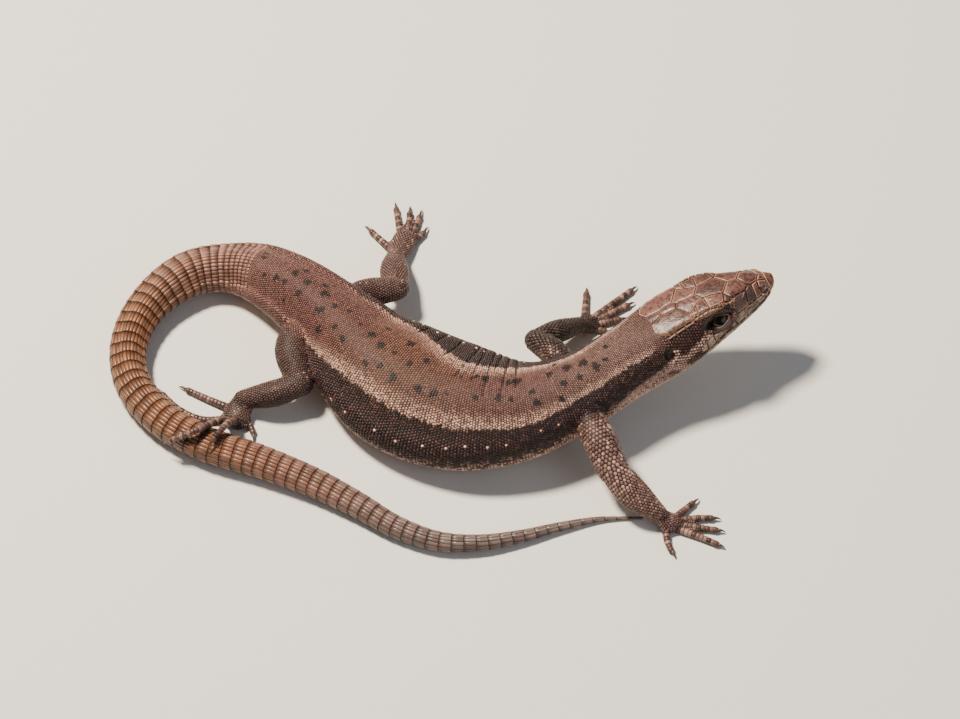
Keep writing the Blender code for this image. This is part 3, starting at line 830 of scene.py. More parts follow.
def coat_mesh(name, points, triangles, marks, roots_uv, spread, material, slot):
    """One finished coat piece from arrays, with its markings and its OFBake map."""
    coat_shapes.append((points, triangles))
    mesh = bpy.data.meshes.new(name)
    points[:, 2] = np.maximum(points[:, 2], FLOOR)
    mesh.from_pydata(points * MM, [], triangles)
    for mark, values in marks.items():
        mesh.attributes.new(mark, "FLOAT", "POINT").data.foreach_set("value", values.astype(np.float32))
    layer = mesh.uv_layers.new(name="OFBake")
    corners = (roots_uv + spread * PATCH / 2)[triangles.reshape(-1)]
    layer.data.foreach_set("uv", corners.astype(np.float32).reshape(-1))
    mesh.shade_smooth()
    mesh.materials.append(material)
    piece = linked(name, mesh)
    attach(piece, "root")
    print(f"{name}: {len(triangles)} triangles")


def add_copies(name, faces, points, crest, spread, marks, roots_uv, slot):
    """Coat pieces of copied scales. The points of each copy come with its markings and map place."""
    each = points.shape[1]
    count = max(1, math.ceil(len(points) * len(faces) / MOST_TRIANGLES))
    for part, chosen in enumerate(np.array_split(np.arange(len(points)), count), start=1):
        triangles = (faces[None] + each * np.arange(len(chosen))[:, None, None]).reshape(-1, 3)
        values = {mark: np.repeat(marks[mark][chosen], each) for mark in MARKS}
        values["crest"] = np.tile(crest, len(chosen))
        coat_mesh(
            f"{name}_{part}" if count > 1 else name, points[chosen].reshape(-1, 3), triangles, values,
            np.repeat(roots_uv[chosen], each, axis=0), np.tile(spread, (len(chosen), 1)), scale_horn, slot,
        )


def lay(name, scale, roots, back, out, size, marks, roots_uv, slot):
    """Copies a unit scale to roots: size holds half length, half width and height in millimetres."""
    shape, faces = scale
    points = roots[:, None] + sum(
        shape[None, :, k, None] * size[:, None, k, None] * axis[:, None]
        for k, axis in enumerate((back, np.cross(out, back), out))
    )
    add_copies(name, faces, points, np.clip(shape[:, 2], 0, 1), shape[:, :2], marks, roots_uv, slot)
    covered.append((roots, marks, roots_uv))


# %% [markdown]
# ## Where scales may stand
#
# Rows are worked out on the plain tubes, but the skin has creases where limbs meet the body. So
# each root is moved to the nearest place on the skin, and a root that is far from any skin, such as
# one inside a shoulder, is left out.

# %% Roots snapped to the skin
skin_tree = BVHTree.FromObject(skin, bpy.context.evaluated_depsgraph_get())
skin_points = points_of(skin.data)
skin_normals = points_of(skin.data, "vertex_normals", "vector")
vertex_tree = tree_of(skin_points)
REACH = 0.32


def on_skin(roots, back):
    """Roots moved to the skin, with backward and outward directions there, and which were kept."""
    placed, normals, kept = [], [], []
    for number, root in enumerate(roots):
        spot, _, _, distance = skin_tree.find_nearest(Vector(root) * MM)
        if distance > REACH * MM:
            continue
        placed.append(np.array(spot) / MM)
        normals.append(skin_normals[vertex_tree.find(spot)[1]])
        kept.append(number)
    placed, out = np.array(placed), unit(np.array(normals))
    lie = back[kept]
    lie = unit(lie - (lie * out).sum(axis=1, keepdims=True) * out)
    return placed, lie, out, np.array(kept)


print("a root is moved at most", REACH, "mm")

# %% [markdown]
# ## The pattern of the body
#
# The back is warm brown with two loose rows of small dark spots on each side. It grows paler
# toward a line of cream scales on the edge of the back. Under that line the flank is nearly black,
# with a sparse row of white scales at mid height and a pale, speckled lower edge, and the belly is
# cream. The speckles are partly the animal's own and partly painted highlight, made denser for the
# sunlit glints there. Each rule below is a smooth step of the landmark number or of the distance.

# %% Lines, dots and spots of the pattern
rng = np.random.default_rng(7)
# The line of cream scales, and its shift on the left side, along the body.
STRIPE = [
    (0, 2.3), (16, 2.2), (20, 2.0), (24, 1.8), (34, 1.8), (38, 1.65), (45, 1.45), (53, 1.5), (57, 2.0),
    (62, 2.5),
]
LEFT_SHIFT = [(30, -0.2), (36, -0.5), (41, -0.35), (45, 0.15), (50, 0.85), (56, 0.65), (60, 0)]
FLANK_END = 4.35
# Single white scales of the flank as (distance, landmark number), and how near a scale must be.
WHITE_DOTS = [
    (29.8, 2.7), (31.6, 2.6), (34.6, 2.9), (36.4, 2.7), (38.6, 2.5), (40.2, 2.6), (42.4, 2.7), (45.0, 2.9),
    (47.2, 2.8), (50.3, 3.0), (52.4, 3.1),
]
DOT_REACH = 0.4
# How much paler and greyer the neck, the hips and the tail are.
LIFT = [
    (14, 0), (18, 0.11), (26, 0.10), (38, 0), (66, 0), (74, 0.07), (84, 0.07), (92, 0), (105, 0), (120, 0.05),
]
# Rows of dark spots as (landmark number, gap, chance), between two distances.
SPOT_ROWS = ((0.5, 2.1, 0.85), (1.25, 3.4, 0.4))
SPOT_SPAN = (22.0, 74.0)


def spot_centres():
    """Distances and signed landmark numbers of the dark spots, with their sizes in millimetres."""
    spots = []
    for side in (-1, 1):
        for row, gap, chance in SPOT_ROWS:
            for place in np.arange(*SPOT_SPAN, gap):
                if rng.random() < chance:
                    shift = rng.normal(0, (0.5, 0.13))
                    spots.append((place + shift[0], side * (row + shift[1]), rng.uniform(0.28, 0.60)))
    return np.array(spots)


SPOTS = spot_centres()
SPOT_TREE = tree_of(body_point(SPOTS[:, 0], SPOTS[:, 1]))
TAN_ARC = [(9.4, 3.05), (10.4, 3.3), (11.7, 3.5), (13.0, 3.75), (13.9, 3.7), (14.4, 3.4), (14.2, 3.1)]
PALE_FOLD = [(13.8, 4.6), (15.3, 3.9), (16.5, 4.0), (17.6, 4.05), (20.0, 4.2), (23.0, 4.3)]
tan_tree, pale_tree = (
    tree_of(np.concatenate([smooth_line([(d, side * t) for d, t in line]) for side in (-1, 1)]))
    for line in (TAN_ARC, PALE_FOLD)
)
print("dark spots:", len(SPOTS), "white scales on each flank:", len(WHITE_DOTS))

# %% Markings of a place on the body
def spot_strength(points):
    """How dark the spots make places, with ragged edges."""
    found = [SPOT_TREE.find(point) for point in points]
    reach = np.array([gap / SPOTS[number, 2] for _, number, gap in found])
    return 0.95 * (1 - step(0.75, 1.15, reach + rng.uniform(-0.3, 0.3, len(points))))


def body_marks(distance, mark, points):
    """The markings of scales on the body, the head and the tail."""
    t = np.abs(mark)
    loose = rng.uniform(-0.12, 0.12, len(t))
    chance = rng.random(len(t))
    on_tail = step(68, 90, distance)
    behind_eye = step(8.5, 10.5, distance)
    stripe = along(STRIPE, distance) + (mark > 0) * along(LEFT_SHIFT, distance)
    below = t + 0.7 * loose - stripe
    flank = step(0.0, 0.14, below) * (1 - step(FLANK_END - 0.3, FLANK_END + 0.35, t + 2 * loose))
    flank *= behind_eye * (1 - 0.8 * step(56, 70, distance))
    belly = step(4.5, 5.1, t + loose) * (1 - 0.75 * on_tail)
    edge = step(-0.75, 0.0, t - stripe) * (1 - step(0.0, 0.12, below))
    edge *= (1 - 0.8 * step(53, 64, distance)) * (1 - 0.5 * (mark > 0) * step(42, 48, distance))
    # Pale speckles of the lower flank: partly the animal's own, partly painted highlight made denser to stand
    # for sunlit glints.
    speckle = step(3.3, 4.6, t) * (1 - step(5.0, 5.3, t)) * (chance < 0.15 + 0.45 * step(3.3, 4.4, t))
    cheek_side = behind_eye * (1 - step(15.0, 16.5, distance))
    mixed = (0.4 - 0.3 * (mark > 0)) * (1 + 0.2 * (distance < 27))
    flank *= 1 - 0.3 * cheek_side - mixed * rng.random(len(t)) ** 2
    tan = (1 - step(0.28, 0.62, gap_to(tan_tree, points))) * rng.uniform(0.4, 1.0, len(t))
    pink = (1 - step(0.45, 0.95, gap_to(pale_tree, points))) * rng.uniform(0.35, 0.95, len(t))
    warm = 0.55 * np.exp(-(((distance - 47) / 9) ** 2)) * (1 - step(1.2, 2.4, t))
    dots = np.zeros(len(t))
    for place, high in WHITE_DOTS:
        for side in (-1, 1):
            gaps = np.linalg.norm(points - body_point(place, side * high), axis=1)
            if len(gaps) and gaps.min() < DOT_REACH:
                dots[gaps.argmin()] = 0.95
    pale = np.maximum.reduce([edge * rng.uniform(0.4, 1.0, len(t)), speckle * 0.9, dots]) * (1 - on_tail)
    lift = along(LIFT, distance) * (1 - flank)
    pale = np.maximum.reduce([pale * step(15.5, 18, distance), tan, pink, lift])
    return {
        "head": 1 - step(14.5, 19.0, distance),
        "tail": np.maximum(on_tail * (1 - 0.45 * step(108, 126, distance)), warm),
        "grey": np.maximum(step(118, 145, distance) * 0.85, 1.8 * lift * (1 - on_tail)),
        "limb": np.zeros(len(t)),
        "flank": flank * (1 - dots),
        "belly": belly,
        "pale": pale,
        "dark": np.maximum(
            spot_strength(points) * (1 - step(-0.3, 0.0, t - stripe)) * (1 - on_tail),
            # Scales beside a fold are darkened: painted shade in the crease.
            0.9 * (1 - step(0.10, 0.24, gap_to(fold_tree, points))),
        ),
        "vary": rng.random(len(t)),
    }


def body_patch(distance, mark):
    """A root's place on the unrolled body: the left half of the map, with the trunk drawn out."""
    upper = 0.78 * np.minimum(distance, VENT) / VENT
    lower = 0.19 * np.maximum(distance - VENT, 0) / (TAIL_TIP - VENT)
    return np.stack((0.25 + 0.245 * mark / LAST_MARK, 0.01 + upper + lower), axis=-1)


print("the vent's place on the map:", np.round(body_patch(VENT, 0.0), 2).tolist())

# %% [markdown]
# ## Granules of the trunk and the neck
#
# The back and flanks bear some eighty small round scales across, in rows that stand half a scale
# off from their neighbours. Scales on the back are a third of a millimetre wide, those on the
# flank a little larger. The number across changes only in steps, as it does in life, and between
# them the scales shrink where the body does.

# %% Rows of roots
BACK_PITCH = 0.34
FLANK_PITCH = 0.44
PACKING = 0.866
# No granule stands this near a fold line, so the skin's painted shade shows in the crease.
FOLD_BARE = 0.08
# A granule's length, width and height, halved, for a width of one.
GRANULE_SHAPE = (0.52, 0.49, 0.28)


def scale_pitch(mark):
    return BACK_PITCH + (FLANK_PITCH - BACK_PITCH) * step(1.7, 2.6, mark)


def body_rows(start, end, low, high, across):
    """Roots on both sides in offset rows: distances, signed landmarks and widths in millimetres.

    The table across gives the number of scales in half a row from each distance on.
    """
    marks = np.linspace(low, high, 60)
    distances, signed, widths = [], [], []
    place, odd = start, False
    while place < end:
        lengths = np.linalg.norm(np.diff(body_point(place, marks), axis=0), axis=1)
        counted = np.concatenate([[0], np.cumsum(lengths / scale_pitch((marks[1:] + marks[:-1]) / 2))])
        half_row = [number for first, number in across if first <= place][-1]
        shrink = counted[-1] / half_row
        number = np.arange(half_row) + (0.5 if odd else 0.0)
        at = np.interp(number * shrink, counted, marks)
        width = scale_pitch(at) * shrink
        for side in (-1, 1):
            taken = slice(1, None) if (side > 0 and not odd and low == 0) else slice(None)
            distances.append(np.full(len(at[taken]), place))
            signed.append(side * at[taken])
            widths.append(width[taken])
        place += float(np.mean(width)) * PACKING
        odd = not odd
    return np.concatenate(distances), np.concatenate(signed), np.concatenate(widths)


def lay_body(name, rows, slot):
    """Granules on the body's own rows."""
    distance, mark, width = rows
    distance = distance + rng.normal(0, 0.02, len(distance))
    back, _, _ = body_directions(distance, mark)
    roots, lie, out, kept = on_skin(body_point(distance, mark), back)
    free = gap_to(fold_tree, roots) > FOLD_BARE
    roots, lie, out, kept = roots[free], lie[free], out[free], kept[free]
    size = width[kept, None] * np.array(GRANULE_SHAPE) * rng.uniform(0.93, 1.07, (len(kept), 1))
    marks = body_marks(distance[kept], mark[kept], roots)
    lay(name, granule, roots, lie, out, size, marks, body_patch(distance[kept], mark[kept]), slot)


print("widths of granules in mm: back", BACK_PITCH, "flank", FLANK_PITCH)

# %% [markdown]
# ## Long scales that bend round the body
#
# Tail scales, belly plates and the bands of the toes are wide or long enough to bend with the
# skin, so they can't be copied flat. Their template is a small sheet of points, and each copy is
# laid on the tube by distance along it and angle round it, with its height added outward.

# %% Templates and their laying
def long_scale(across, profile):
    """Points and triangles of a scale from 0 to 1 along, -1 to 1 across, with its height."""
    rings = [
        np.array([(along_it, side, height * lift if height > 0 else height) for along_it, height in profile])
        for side, lift in across
    ]
    return closed_arrays(np.array(rings) / MM)


LONG_CREST = 1.4
KEELED = [(-1, 0.0), (-0.88, 0.80), (0, 1.0), (0.88, 0.80), (1, 0.0)]
ROUNDED = [(-1, 0.0), (-0.9, 0.75), (-0.45, 1.0), (0, 1.0), (0.45, 1.0), (0.9, 0.75), (1, 0.0)]
keeled = long_scale(KEELED, [(0.0, -0.5), (0.02, 0.30), (0.5, 0.72), (0.93, 1.0), (1.0, 0.55), (0.98, -0.5)])
broad = long_scale(ROUNDED, [(0.0, -0.5), (0.03, 0.5), (0.3, 0.9), (0.8, 1.0), (0.97, 0.6), (1.0, -0.5)])


def wrap(name, scale, surface, start, length, centre, half_width, height, marks, roots_uv, slot):
    """Lays long scales: surface gives points and outward directions at (along, across) places."""
    shape, faces = scale
    length, height = (np.full(start.shape, value) for value in (length, height))
    u = start[:, None] + shape[None, :, 0] * length[:, None]
    v = centre[:, None] + shape[None, :, 1] * half_width[:, None]
    points, out = surface(u, v)
    points = points + out * (shape[None, :, 2] * height[:, None])[..., None]
    crest = np.clip(LONG_CREST * shape[:, 2], 0, 1)
    spread = np.stack((2 * shape[:, 0] - 1, shape[:, 1]), axis=1)
    add_copies(name, faces, points, crest, spread, marks, roots_uv, slot)
    covered.append((surface(start + 0.5 * length, centre)[0], marks, roots_uv))


def body_surface(distance, mark):
    point = body_point(distance, mark)
    return point, body_directions(distance, mark)[2]


print("triangles in a tail scale:", len(keeled[1]), "in a plate:", len(broad[1]))

# %% [markdown]
# ## The head as a flat sheet
#
# The head's top and sides bear large horny shields that fit together like paving. Their outlines
# are drawn on the unrolled head, where a place is its distance from the snout and its width from
# the middle line, measured over the skin in millimetres, plus on the left. The drawing is then
# rolled back onto the head.

# %% Unroll the head
SHEET_GAP = 0.1
SHEET_PLACES = np.arange(0, 20.01, SHEET_GAP)
SHEET_MARKS = np.linspace(0, LAST_MARK, 141)
sheet_points = body_point(SHEET_PLACES[:, None], SHEET_MARKS[None])
sheet_gaps = np.linalg.norm(np.diff(sheet_points, axis=1), axis=2)
SHEET_WIDTHS = np.concatenate([np.zeros((len(SHEET_PLACES), 1)), np.cumsum(sheet_gaps, axis=1)], axis=1)
MOUTH_SECTION = 5.0
MOUTH_FRONT_HEIGHT = -0.35
MOUTH_CORNER = 10.8
MOUTH_FALL = 1.15 / MOUTH_CORNER


def sheet_row(distance):
    at = min(max(distance / SHEET_GAP, 0), len(SHEET_PLACES) - 1.001)
    low = int(at)
    return SHEET_WIDTHS[low] + (at - low) * (SHEET_WIDTHS[low + 1] - SHEET_WIDTHS[low])


def width_of(distance, mark):
    """The signed width over the skin of a signed landmark number."""
    return math.copysign(float(np.interp(abs(mark), SHEET_MARKS, sheet_row(distance))), mark)


def mark_of(distance, width):
    return math.copysign(float(np.interp(abs(width), sheet_row(distance), SHEET_MARKS)), width)


def mouth_mark(distance):
    """The landmark number of the mouth's line, which is straight when seen from the side."""
    centre, _, up = body_frame(MOUTH_SECTION)
    heights = (body_point(distance, SHEET_MARKS, grow=0.0) - centre) @ up
    height = MOUTH_FRONT_HEIGHT - MOUTH_FALL * distance
    return float(np.interp(-height, -heights[50:], SHEET_MARKS[50:]))


MOUTH = [(place, mouth_mark(place)) for place in np.arange(0.0, 17.1, 0.5)]
print("the mouth's landmark at its corner:", round(mouth_mark(MOUTH_CORNER), 2))

# %% Places on the top, the side and the chin
def crown(distance, across):
    """Sheet place of a point that lies so far from the middle line, seen from above."""
    marks = np.linspace(0, 3, 60)
    sideways, _ = section_point(np.full(60, distance), marks)
    mark = float(np.interp(abs(across), sideways, marks))
    return distance, math.copysign(width_of(distance, mark), across)


def cheek(distance, share):
    """Sheet place on the side of the head: share runs from 0 at the crown's edge to 1 at the mouth."""
    return distance, width_of(distance, 2 + share * (float(along(MOUTH, distance)) - 2))


def chin(distance, share):
    """Sheet place under the mouth: share runs from 0 at the mouth to 1 at the middle of the chin."""
    mouth = float(along(MOUTH, distance))
    return distance, width_of(distance, mouth + share * (LAST_MARK - mouth))


print("width from the middle line to the mouth at the eye:", round(cheek(EYE_PLACE[0], 1)[1], 1))

# %% [markdown]
# ## One shield
#
# A shield is a plate with a sunk edge, a narrow bevel and a low dome. It is made as a stack of
# outlines, each a little inside the last and a little higher, rolled onto the head.

# %% Outlines and the sheet rolled on
SHIELD_STEP = 0.22
EDGE_RINGS = ((0.025, -0.12), (0.035, 0.03), (0.08, 0.075), (0.15, 0.095))
DOME_SHARES = (0.72, 0.45, 0.18)
WARM_EDGE = 0.85
# Crests of the rings: the low ones at the sunk edge carry the painted shade of the seams.
SHIELD_CRESTS = (0.0, 0.25, 0.6, 0.85, 1.0, 1.0, 1.0)
outlines = []
shield_parts = []


def dense(outline):
    """Closely spaced points round an outline, always in the same sense."""
    points = []
    for first, last in zip(outline, outline[1:] + outline[:1]):
        count = max(1, round(math.dist(first, last) / SHIELD_STEP))
        points.append(np.linspace(first, last, count, endpoint=False))
    points = np.concatenate(points)
    ahead = np.roll(points, -1, 0)
    turned = (points[:, 0] * ahead[:, 1] - points[:, 1] * ahead[:, 0]).sum() < 0
    return points[::-1] if turned else points


def inset(points, amount):
    """The outline moved inward."""
    tangent = unit(np.roll(points, -1, 0) - np.roll(points, 1, 0))
    return points + amount * np.stack((-tangent[:, 1], tangent[:, 0]), axis=1)


def sheet_surface(points, height):
    """Points of the sheet rolled onto the head, at heights above the skin."""
    marks = np.array([mark_of(*point) for point in points])
    out = body_directions(points[:, 0], marks)[2]
    return body_point(points[:, 0], marks) + out * np.asarray(height)[..., None]


print("depth of a shield's edge in mm:", EDGE_RINGS[-1][1] - EDGE_RINGS[0][1])

# %% From outline to plate
def shield(outline, dome=0.05, pale=0.0, dark=0.0, belly=0.0, flank=0.0, lift=0.0):
    """Adds one shield with an outline of (distance, width) to the parts to be joined."""
    points = dense(list(outline))
    outlines.append(points)
    middle = points.mean(axis=0)
    reach = float(np.linalg.norm(points - middle, axis=1).min())
    steps = [(inset(points, min(amount, 0.4 * reach)), height) for amount, height in EDGE_RINGS]
    inner, edge = steps[-1]
    for share in DOME_SHARES:
        steps.append((middle + share * (inner - middle), edge + dome * (1 - share**2)))
    heights = np.repeat([height + lift for _, height in steps], len(points))
    places = np.concatenate([ring for ring, _ in steps])
    rings = sheet_surface(places, heights).reshape(len(steps), -1, 3)
    signed = np.array([mark_of(*place) for place in places])
    rear = step(9.4, 10.6, places[:, 0]) * step(1.35, 1.9, np.abs(signed))
    brow_side = step(1.85, 2.05, np.abs(signed)) * (1 - step(2.3, 2.4, np.abs(signed)))
    brow_side *= step(4.5, 5.5, places[:, 0])
    marks = {
        "head": 1 - 0.6 * belly, "pale": pale, "dark": dark, "belly": belly, "flank": flank,
        "vary": float(rng.random()), "tail": WARM_EDGE * np.maximum(rear, brow_side),
    }
    root = sheet_surface(middle[None], np.zeros(1))[0]
    shield_parts.append((rings, SHIELD_CRESTS, marks, body_patch(places[:, 0], signed), root))


def pair(outline, **looks):
    """A shield and its mirror image."""
    shield(outline, **looks)
    shield([(distance, -width) for distance, width in outline], **looks)


print("rings in a shield:", len(SHIELD_CRESTS))

# %% [markdown]
# ## Shields of the crown
#
# From the front they are the frontonasal, two prefrontals, the long frontal between the eyes, two
# frontoparietals, and behind these the small interparietal and occipital between two large
# parietals. Four supraoculars roof each eye, edged by small supraciliaries.

# %% Lay the crown
def symmetric(*places):
    """Outline from its left half, front to back."""
    left = [crown(*place) for place in places]
    return left + [(d, -w) for d, w in reversed(left) if w != 0]


def lay_pairs(place_on, *shields):
    """Pairs of shields from (looks, places), with the places read by crown, cheek or chin."""
    for looks, places in shields:
        pair([place_on(*place) for place in places], **looks)


shield(symmetric((1.35, 0), (1.75, 0.85), (2.6, 1.3), (3.1, 1.15), (3.7, 0.0)))
lay_pairs(
    crown,
    ({"dome": 0.07}, ((3.75, 0), (4.85, 0), (5.95, 1.55), (5.45, 2.3), (4.6, 2.1), (3.5, 1.8), (3.1, 1.2))),
)
shield(symmetric((4.9, 0), (5.95, 1.5), (7.1, 1.2), (8.2, 1.08), (8.85, 0)), dome=0.03, dark=0.1)
lay_pairs(crown, ({}, ((8.9, 0), (8.25, 1.1), (9.35, 1.6), (10.35, 2.35), (11.5, 0.62), (11.2, 0))))
shield(symmetric((11.2, 0), (11.5, 0.6), (12.4, 0.55), (13.35, 0.36)), dark=0.1)
shield(symmetric((13.4, 0.36), (14.4, 0.62), (15.0, 0.72), (15.1, 0)))
lay_pairs(
    crown,
    ({"dome": 0.08}, (
        (11.55, 0.64), (10.45, 2.4), (10.6, 3.3), (12.4, 3.35), (14.2, 3.25), (15.0, 2.7), (15.4, 1.9),
        (15.1, 0.76), (14.4, 0.66), (13.35, 0.4), (12.4, 0.6),
    )),
    ({"dome": 0.04}, ((5.95, 1.62), (5.5, 2.35), (5.75, 2.75), (6.3, 2.8))),
    ({"dome": 0.09}, ((6.02, 1.6), (6.4, 2.8), (7.2, 2.95), (8.08, 2.98), (8.15, 1.14), (7.1, 1.26))),
    ({"dome": 0.08, "dark": 0.1}, ((8.22, 1.16), (8.14, 2.98), (9.5, 2.96), (9.38, 1.66))),
    ({"dome": 0.04}, ((9.44, 1.72), (9.56, 2.96), (10.35, 2.9), (10.38, 2.42))),
)
for place in np.arange(6.9, 10.2, 0.27):
    middle = crown(place, 3.10)[1]
    grain = [(place + 0.12 * math.cos(a), middle + 0.10 * math.sin(a)) for a in ring_angles(10)]
    pair(grain, dome=0.05, pale=0.25)
brow = [5.2, 5.95, 6.8, 7.6, 8.4, 9.1, 9.7, 10.3]
for first, last in zip(brow, brow[1:]):
    inner = 2.86 if first < 6 else 3.24
    edge = [(place, width_of(place, 2.17)) for place in (last, first)]
    pair([crown(first, inner), crown(last, inner + 0.02), *edge], dome=0.04, lift=0.04)
print("shields on the crown:", len(shield_parts))

# %% [markdown]
# ## Shields of the snout, lips and chin
#
# Behind the nostril lie a postnasal and two loreals, then a preocular. The upper lip has four
# labials in front of the long subocular and two behind it. The lower lip has six, with larger
# shields under them that reach the middle of the chin. The dark flank colour on the side of the
# snout and on the lips is painted shade.

# %% Lay the sides
lay_pairs(crown, ({"dome": 0.06}, ((0.62, 0.02), (0.66, 0.55), (1.0, 0.80), (1.7, 0.84), (1.3, 0.02))))
# The flank colour on the postnasal, the loreals and the preocular is painted shade, for the shaded side of
# the snout.
lay_pairs(
    cheek,
    ({"dome": 0.10, "dark": 0.15}, (
        (0.74, -0.30), (1.0, -0.26), (1.72, -0.44), (1.85, 0.0), (1.85, 0.30), (1.75, 0.60), (0.74, 0.58),
    )),
    ({"dark": 0.1, "flank": 0.3, "dome": 0.08}, (
        (1.79, -0.44), (2.55, -0.24), (2.6, 0.05), (2.65, 0.58), (1.82, 0.60), (1.92, 0.30), (1.92, 0.0),
    )),
    ({"flank": 0.55}, ((2.62, -0.24), (3.05, -0.24), (3.5, -0.02), (3.85, 0.59), (2.7, 0.58), (2.66, 0.05))),
    ({"flank": 0.65}, ((3.56, 0.0), (4.6, 0.0), (5.2, 0.02), (5.65, 0.28), (5.55, 0.60), (3.92, 0.59))),
    ({"flank": 0.6}, ((5.27, 0.02), (5.9, 0.05), (6.2, 0.32), (5.72, 0.30))),
)
# The flank colour darkening the labials of both lips is painted shade, for the shaded lower side of the face.
upper_lip = [0.74, 1.95, 3.25, 4.55, 5.9]
for first, last in zip(upper_lip, upper_lip[1:]):
    looks = {"belly": 0.35, "flank": 0.5, "dome": 0.06}
    lay_pairs(cheek, (looks, ((first, 0.62), (last, 0.62), (last + 0.1, 0.985), (first, 0.985))))
lay_pairs(
    cheek,
    ({"belly": 0.35, "flank": 0.5}, (
        (5.96, 0.63), (6.5, 0.74), (8.4, 0.76), (9.1, 0.68), (9.15, 0.985), (6.06, 0.985),
    )),
    ({"belly": 0.4, "flank": 0.45}, ((9.17, 0.68), (10.2, 0.70), (10.3, 0.985), (9.21, 0.985))),
    ({"belly": 0.45, "flank": 0.4}, ((10.26, 0.71), (11.1, 0.75), (11.2, 0.985), (10.36, 0.985))),
)
lower_lip = [0.74, 2.1, 3.5, 5.0, 6.6, 8.4, 10.6]
for first, last in zip(lower_lip, lower_lip[1:]):
    looks = {"belly": 0.6, "flank": 0.3, "dome": 0.05}
    lay_pairs(chin, (looks, ((first, 0.02), (last, 0.02), (last, 0.21), (first, 0.23))))
for places in (
    ((0.9, 0.25), (2.4, 0.24), (2.5, 0.985), (1.2, 0.985)),
    ((2.45, 0.24), (3.9, 0.23), (4.2, 0.985), (2.55, 0.985)),
    ((3.96, 0.23), (5.9, 0.23), (6.5, 0.62), (6.0, 0.985), (4.26, 0.985)),
    ((5.96, 0.23), (8.3, 0.22), (8.6, 0.40), (8.0, 0.62), (6.6, 0.60)),
    ((8.36, 0.22), (10.5, 0.21), (10.6, 0.32), (9.6, 0.45), (8.66, 0.40)),
):
    lay_pairs(chin, ({"belly": 0.9}, places))
temple_edge = [10.45, 11.7, 13.1, 14.3]
for first, last in zip(temple_edge, temple_edge[1:]):
    corners = ((first, 2.07), (last, 2.07), (last, 2.22), (first, 2.22))
    pair([(place, width_of(place, mark)) for place, mark in corners], flank=0.5, pale=0.15, dome=0.05)
print("shields in all:", len(shield_parts))

# %% Join the shields
def join_parts(name, parts, material, slot, cover=True):
    """One mesh of closed ring stacks, each with its crests, markings and place on the map.

    A large part has its own place on the map for every point, a small one a single place.
    """
    points, triangles, values, centres, spreads = [], [], {m: [] for m in MARKS + ("crest",)}, [], []
    total = 0
    for rings, crests, marks, patch, _ in parts:
        flat, faces = closed_arrays(rings)
        flat = flat / MM
        tree = tree_of(np.array(rings).reshape(-1, 3))
        given = np.array([tree.find(point)[1] for point in flat])
        if np.ndim(patch) > 1:
            centres.append(patch[given])
            spreads.append(np.zeros((len(flat), 2)))
        else:
            offsets = (flat - flat.mean(axis=0))[:, :2]
            centres.append(np.repeat([patch], len(flat), axis=0))
            spreads.append(offsets / np.abs(offsets).max())
        for mark in MARKS:
            value = marks.get(mark, 0.0)
            values[mark].append(value[given] if np.ndim(value) else np.full(len(flat), float(value)))
        values["crest"].append(np.array(crests)[given // len(rings[0])])
        points.append(flat)
        triangles.append(faces + total)
        total += len(flat)
    whole = {mark: np.concatenate(value) for mark, value in values.items()}
    arrays = (np.concatenate(part) for part in (points, triangles))
    coat_mesh(name, *arrays, whole, np.concatenate(centres), np.concatenate(spreads), material, slot)
    if cover:
        shades = {m: np.array([float(np.mean(part[2].get(m, 0.0))) for part in parts]) for m in MARKS}
        patches = np.array([np.mean(part[3], axis=0) if np.ndim(part[3]) > 1 else part[3] for part in parts])
        covered.append((np.array([part[4] for part in parts]), shades, patches))


print("triangles in the first shield:", len(closed_arrays(shield_parts[0][0])[1]))

# %% [markdown]
# ## Snout tip and chin tip
#
# The rostral shield caps the snout and the mental shield caps the chin, with the mouth's line
# between them. Each is a dome that closes the front end of the head's tube.

# %% Cap the two jaws
# Each ring's distance, its size and how far ahead of the tube it stands, as shares.
TIP_RINGS = (
    (0.68, 1, 0), (0.66, 1, 0), (0.58, 1, 0), (0.42, 1, 0), (0.26, 0.99, 0), (0.12, 0.96, 0.05),
    (0, 0.90, 0.22), (0, 0.78, 0.52), (0, 0.60, 0.78), (0, 0.38, 0.93), (0, 0.14, 1),
)
TIP_CRESTS = (0.0, 0.4, 0.8) + (1.0,) * 8
MOUTH_GAP = 0.12


def tip_cap(left_marks, reach, belly):
    """A dome over the tube's front end, through landmark numbers and their mirror images."""
    mirrored = -left_marks[::-1]
    marks = np.concatenate([left_marks, mirrored[:-1] if left_marks[0] == 0 else mirrored[1:]])
    rings = []
    for number, (distance, share, ahead) in enumerate(TIP_RINGS):
        grow = -COAT + (0.10 if number else -0.10) + 0.20 * step(0, 3, number - 2)
        ring = body_point(distance, marks, grow)
        _, left, up = body_frame(distance)
        middle = ring.mean(axis=0)
        rings.append(middle + share * (ring - middle) + np.cross(left, up) * reach * ahead)
    looks = {"head": 1 - 0.5 * belly, "belly": belly, "vary": 0.6, "tail": 0.3}
    patch = body_patch(0.3, 0.0 if left_marks[0] == 0 else LAST_MARK)
    shield_parts.append((rings, TIP_CRESTS, looks, patch, rings[-1].mean(axis=0)))


tip_cap(np.linspace(0, MOUTH[0][1] - MOUTH_GAP, 16), 0.32, 0.0)
tip_cap(np.linspace(MOUTH[0][1] + MOUTH_GAP, LAST_MARK, 16), 0.12, 0.7)
print("parts with the two tips:", len(shield_parts))

# %% [markdown]
# ## Nostrils
#
# A nostril is a round pit with a raised rim, set in the shield behind the snout's tip.

# %% Ring each nostril
NOSTRIL = (1.42, 2.42)
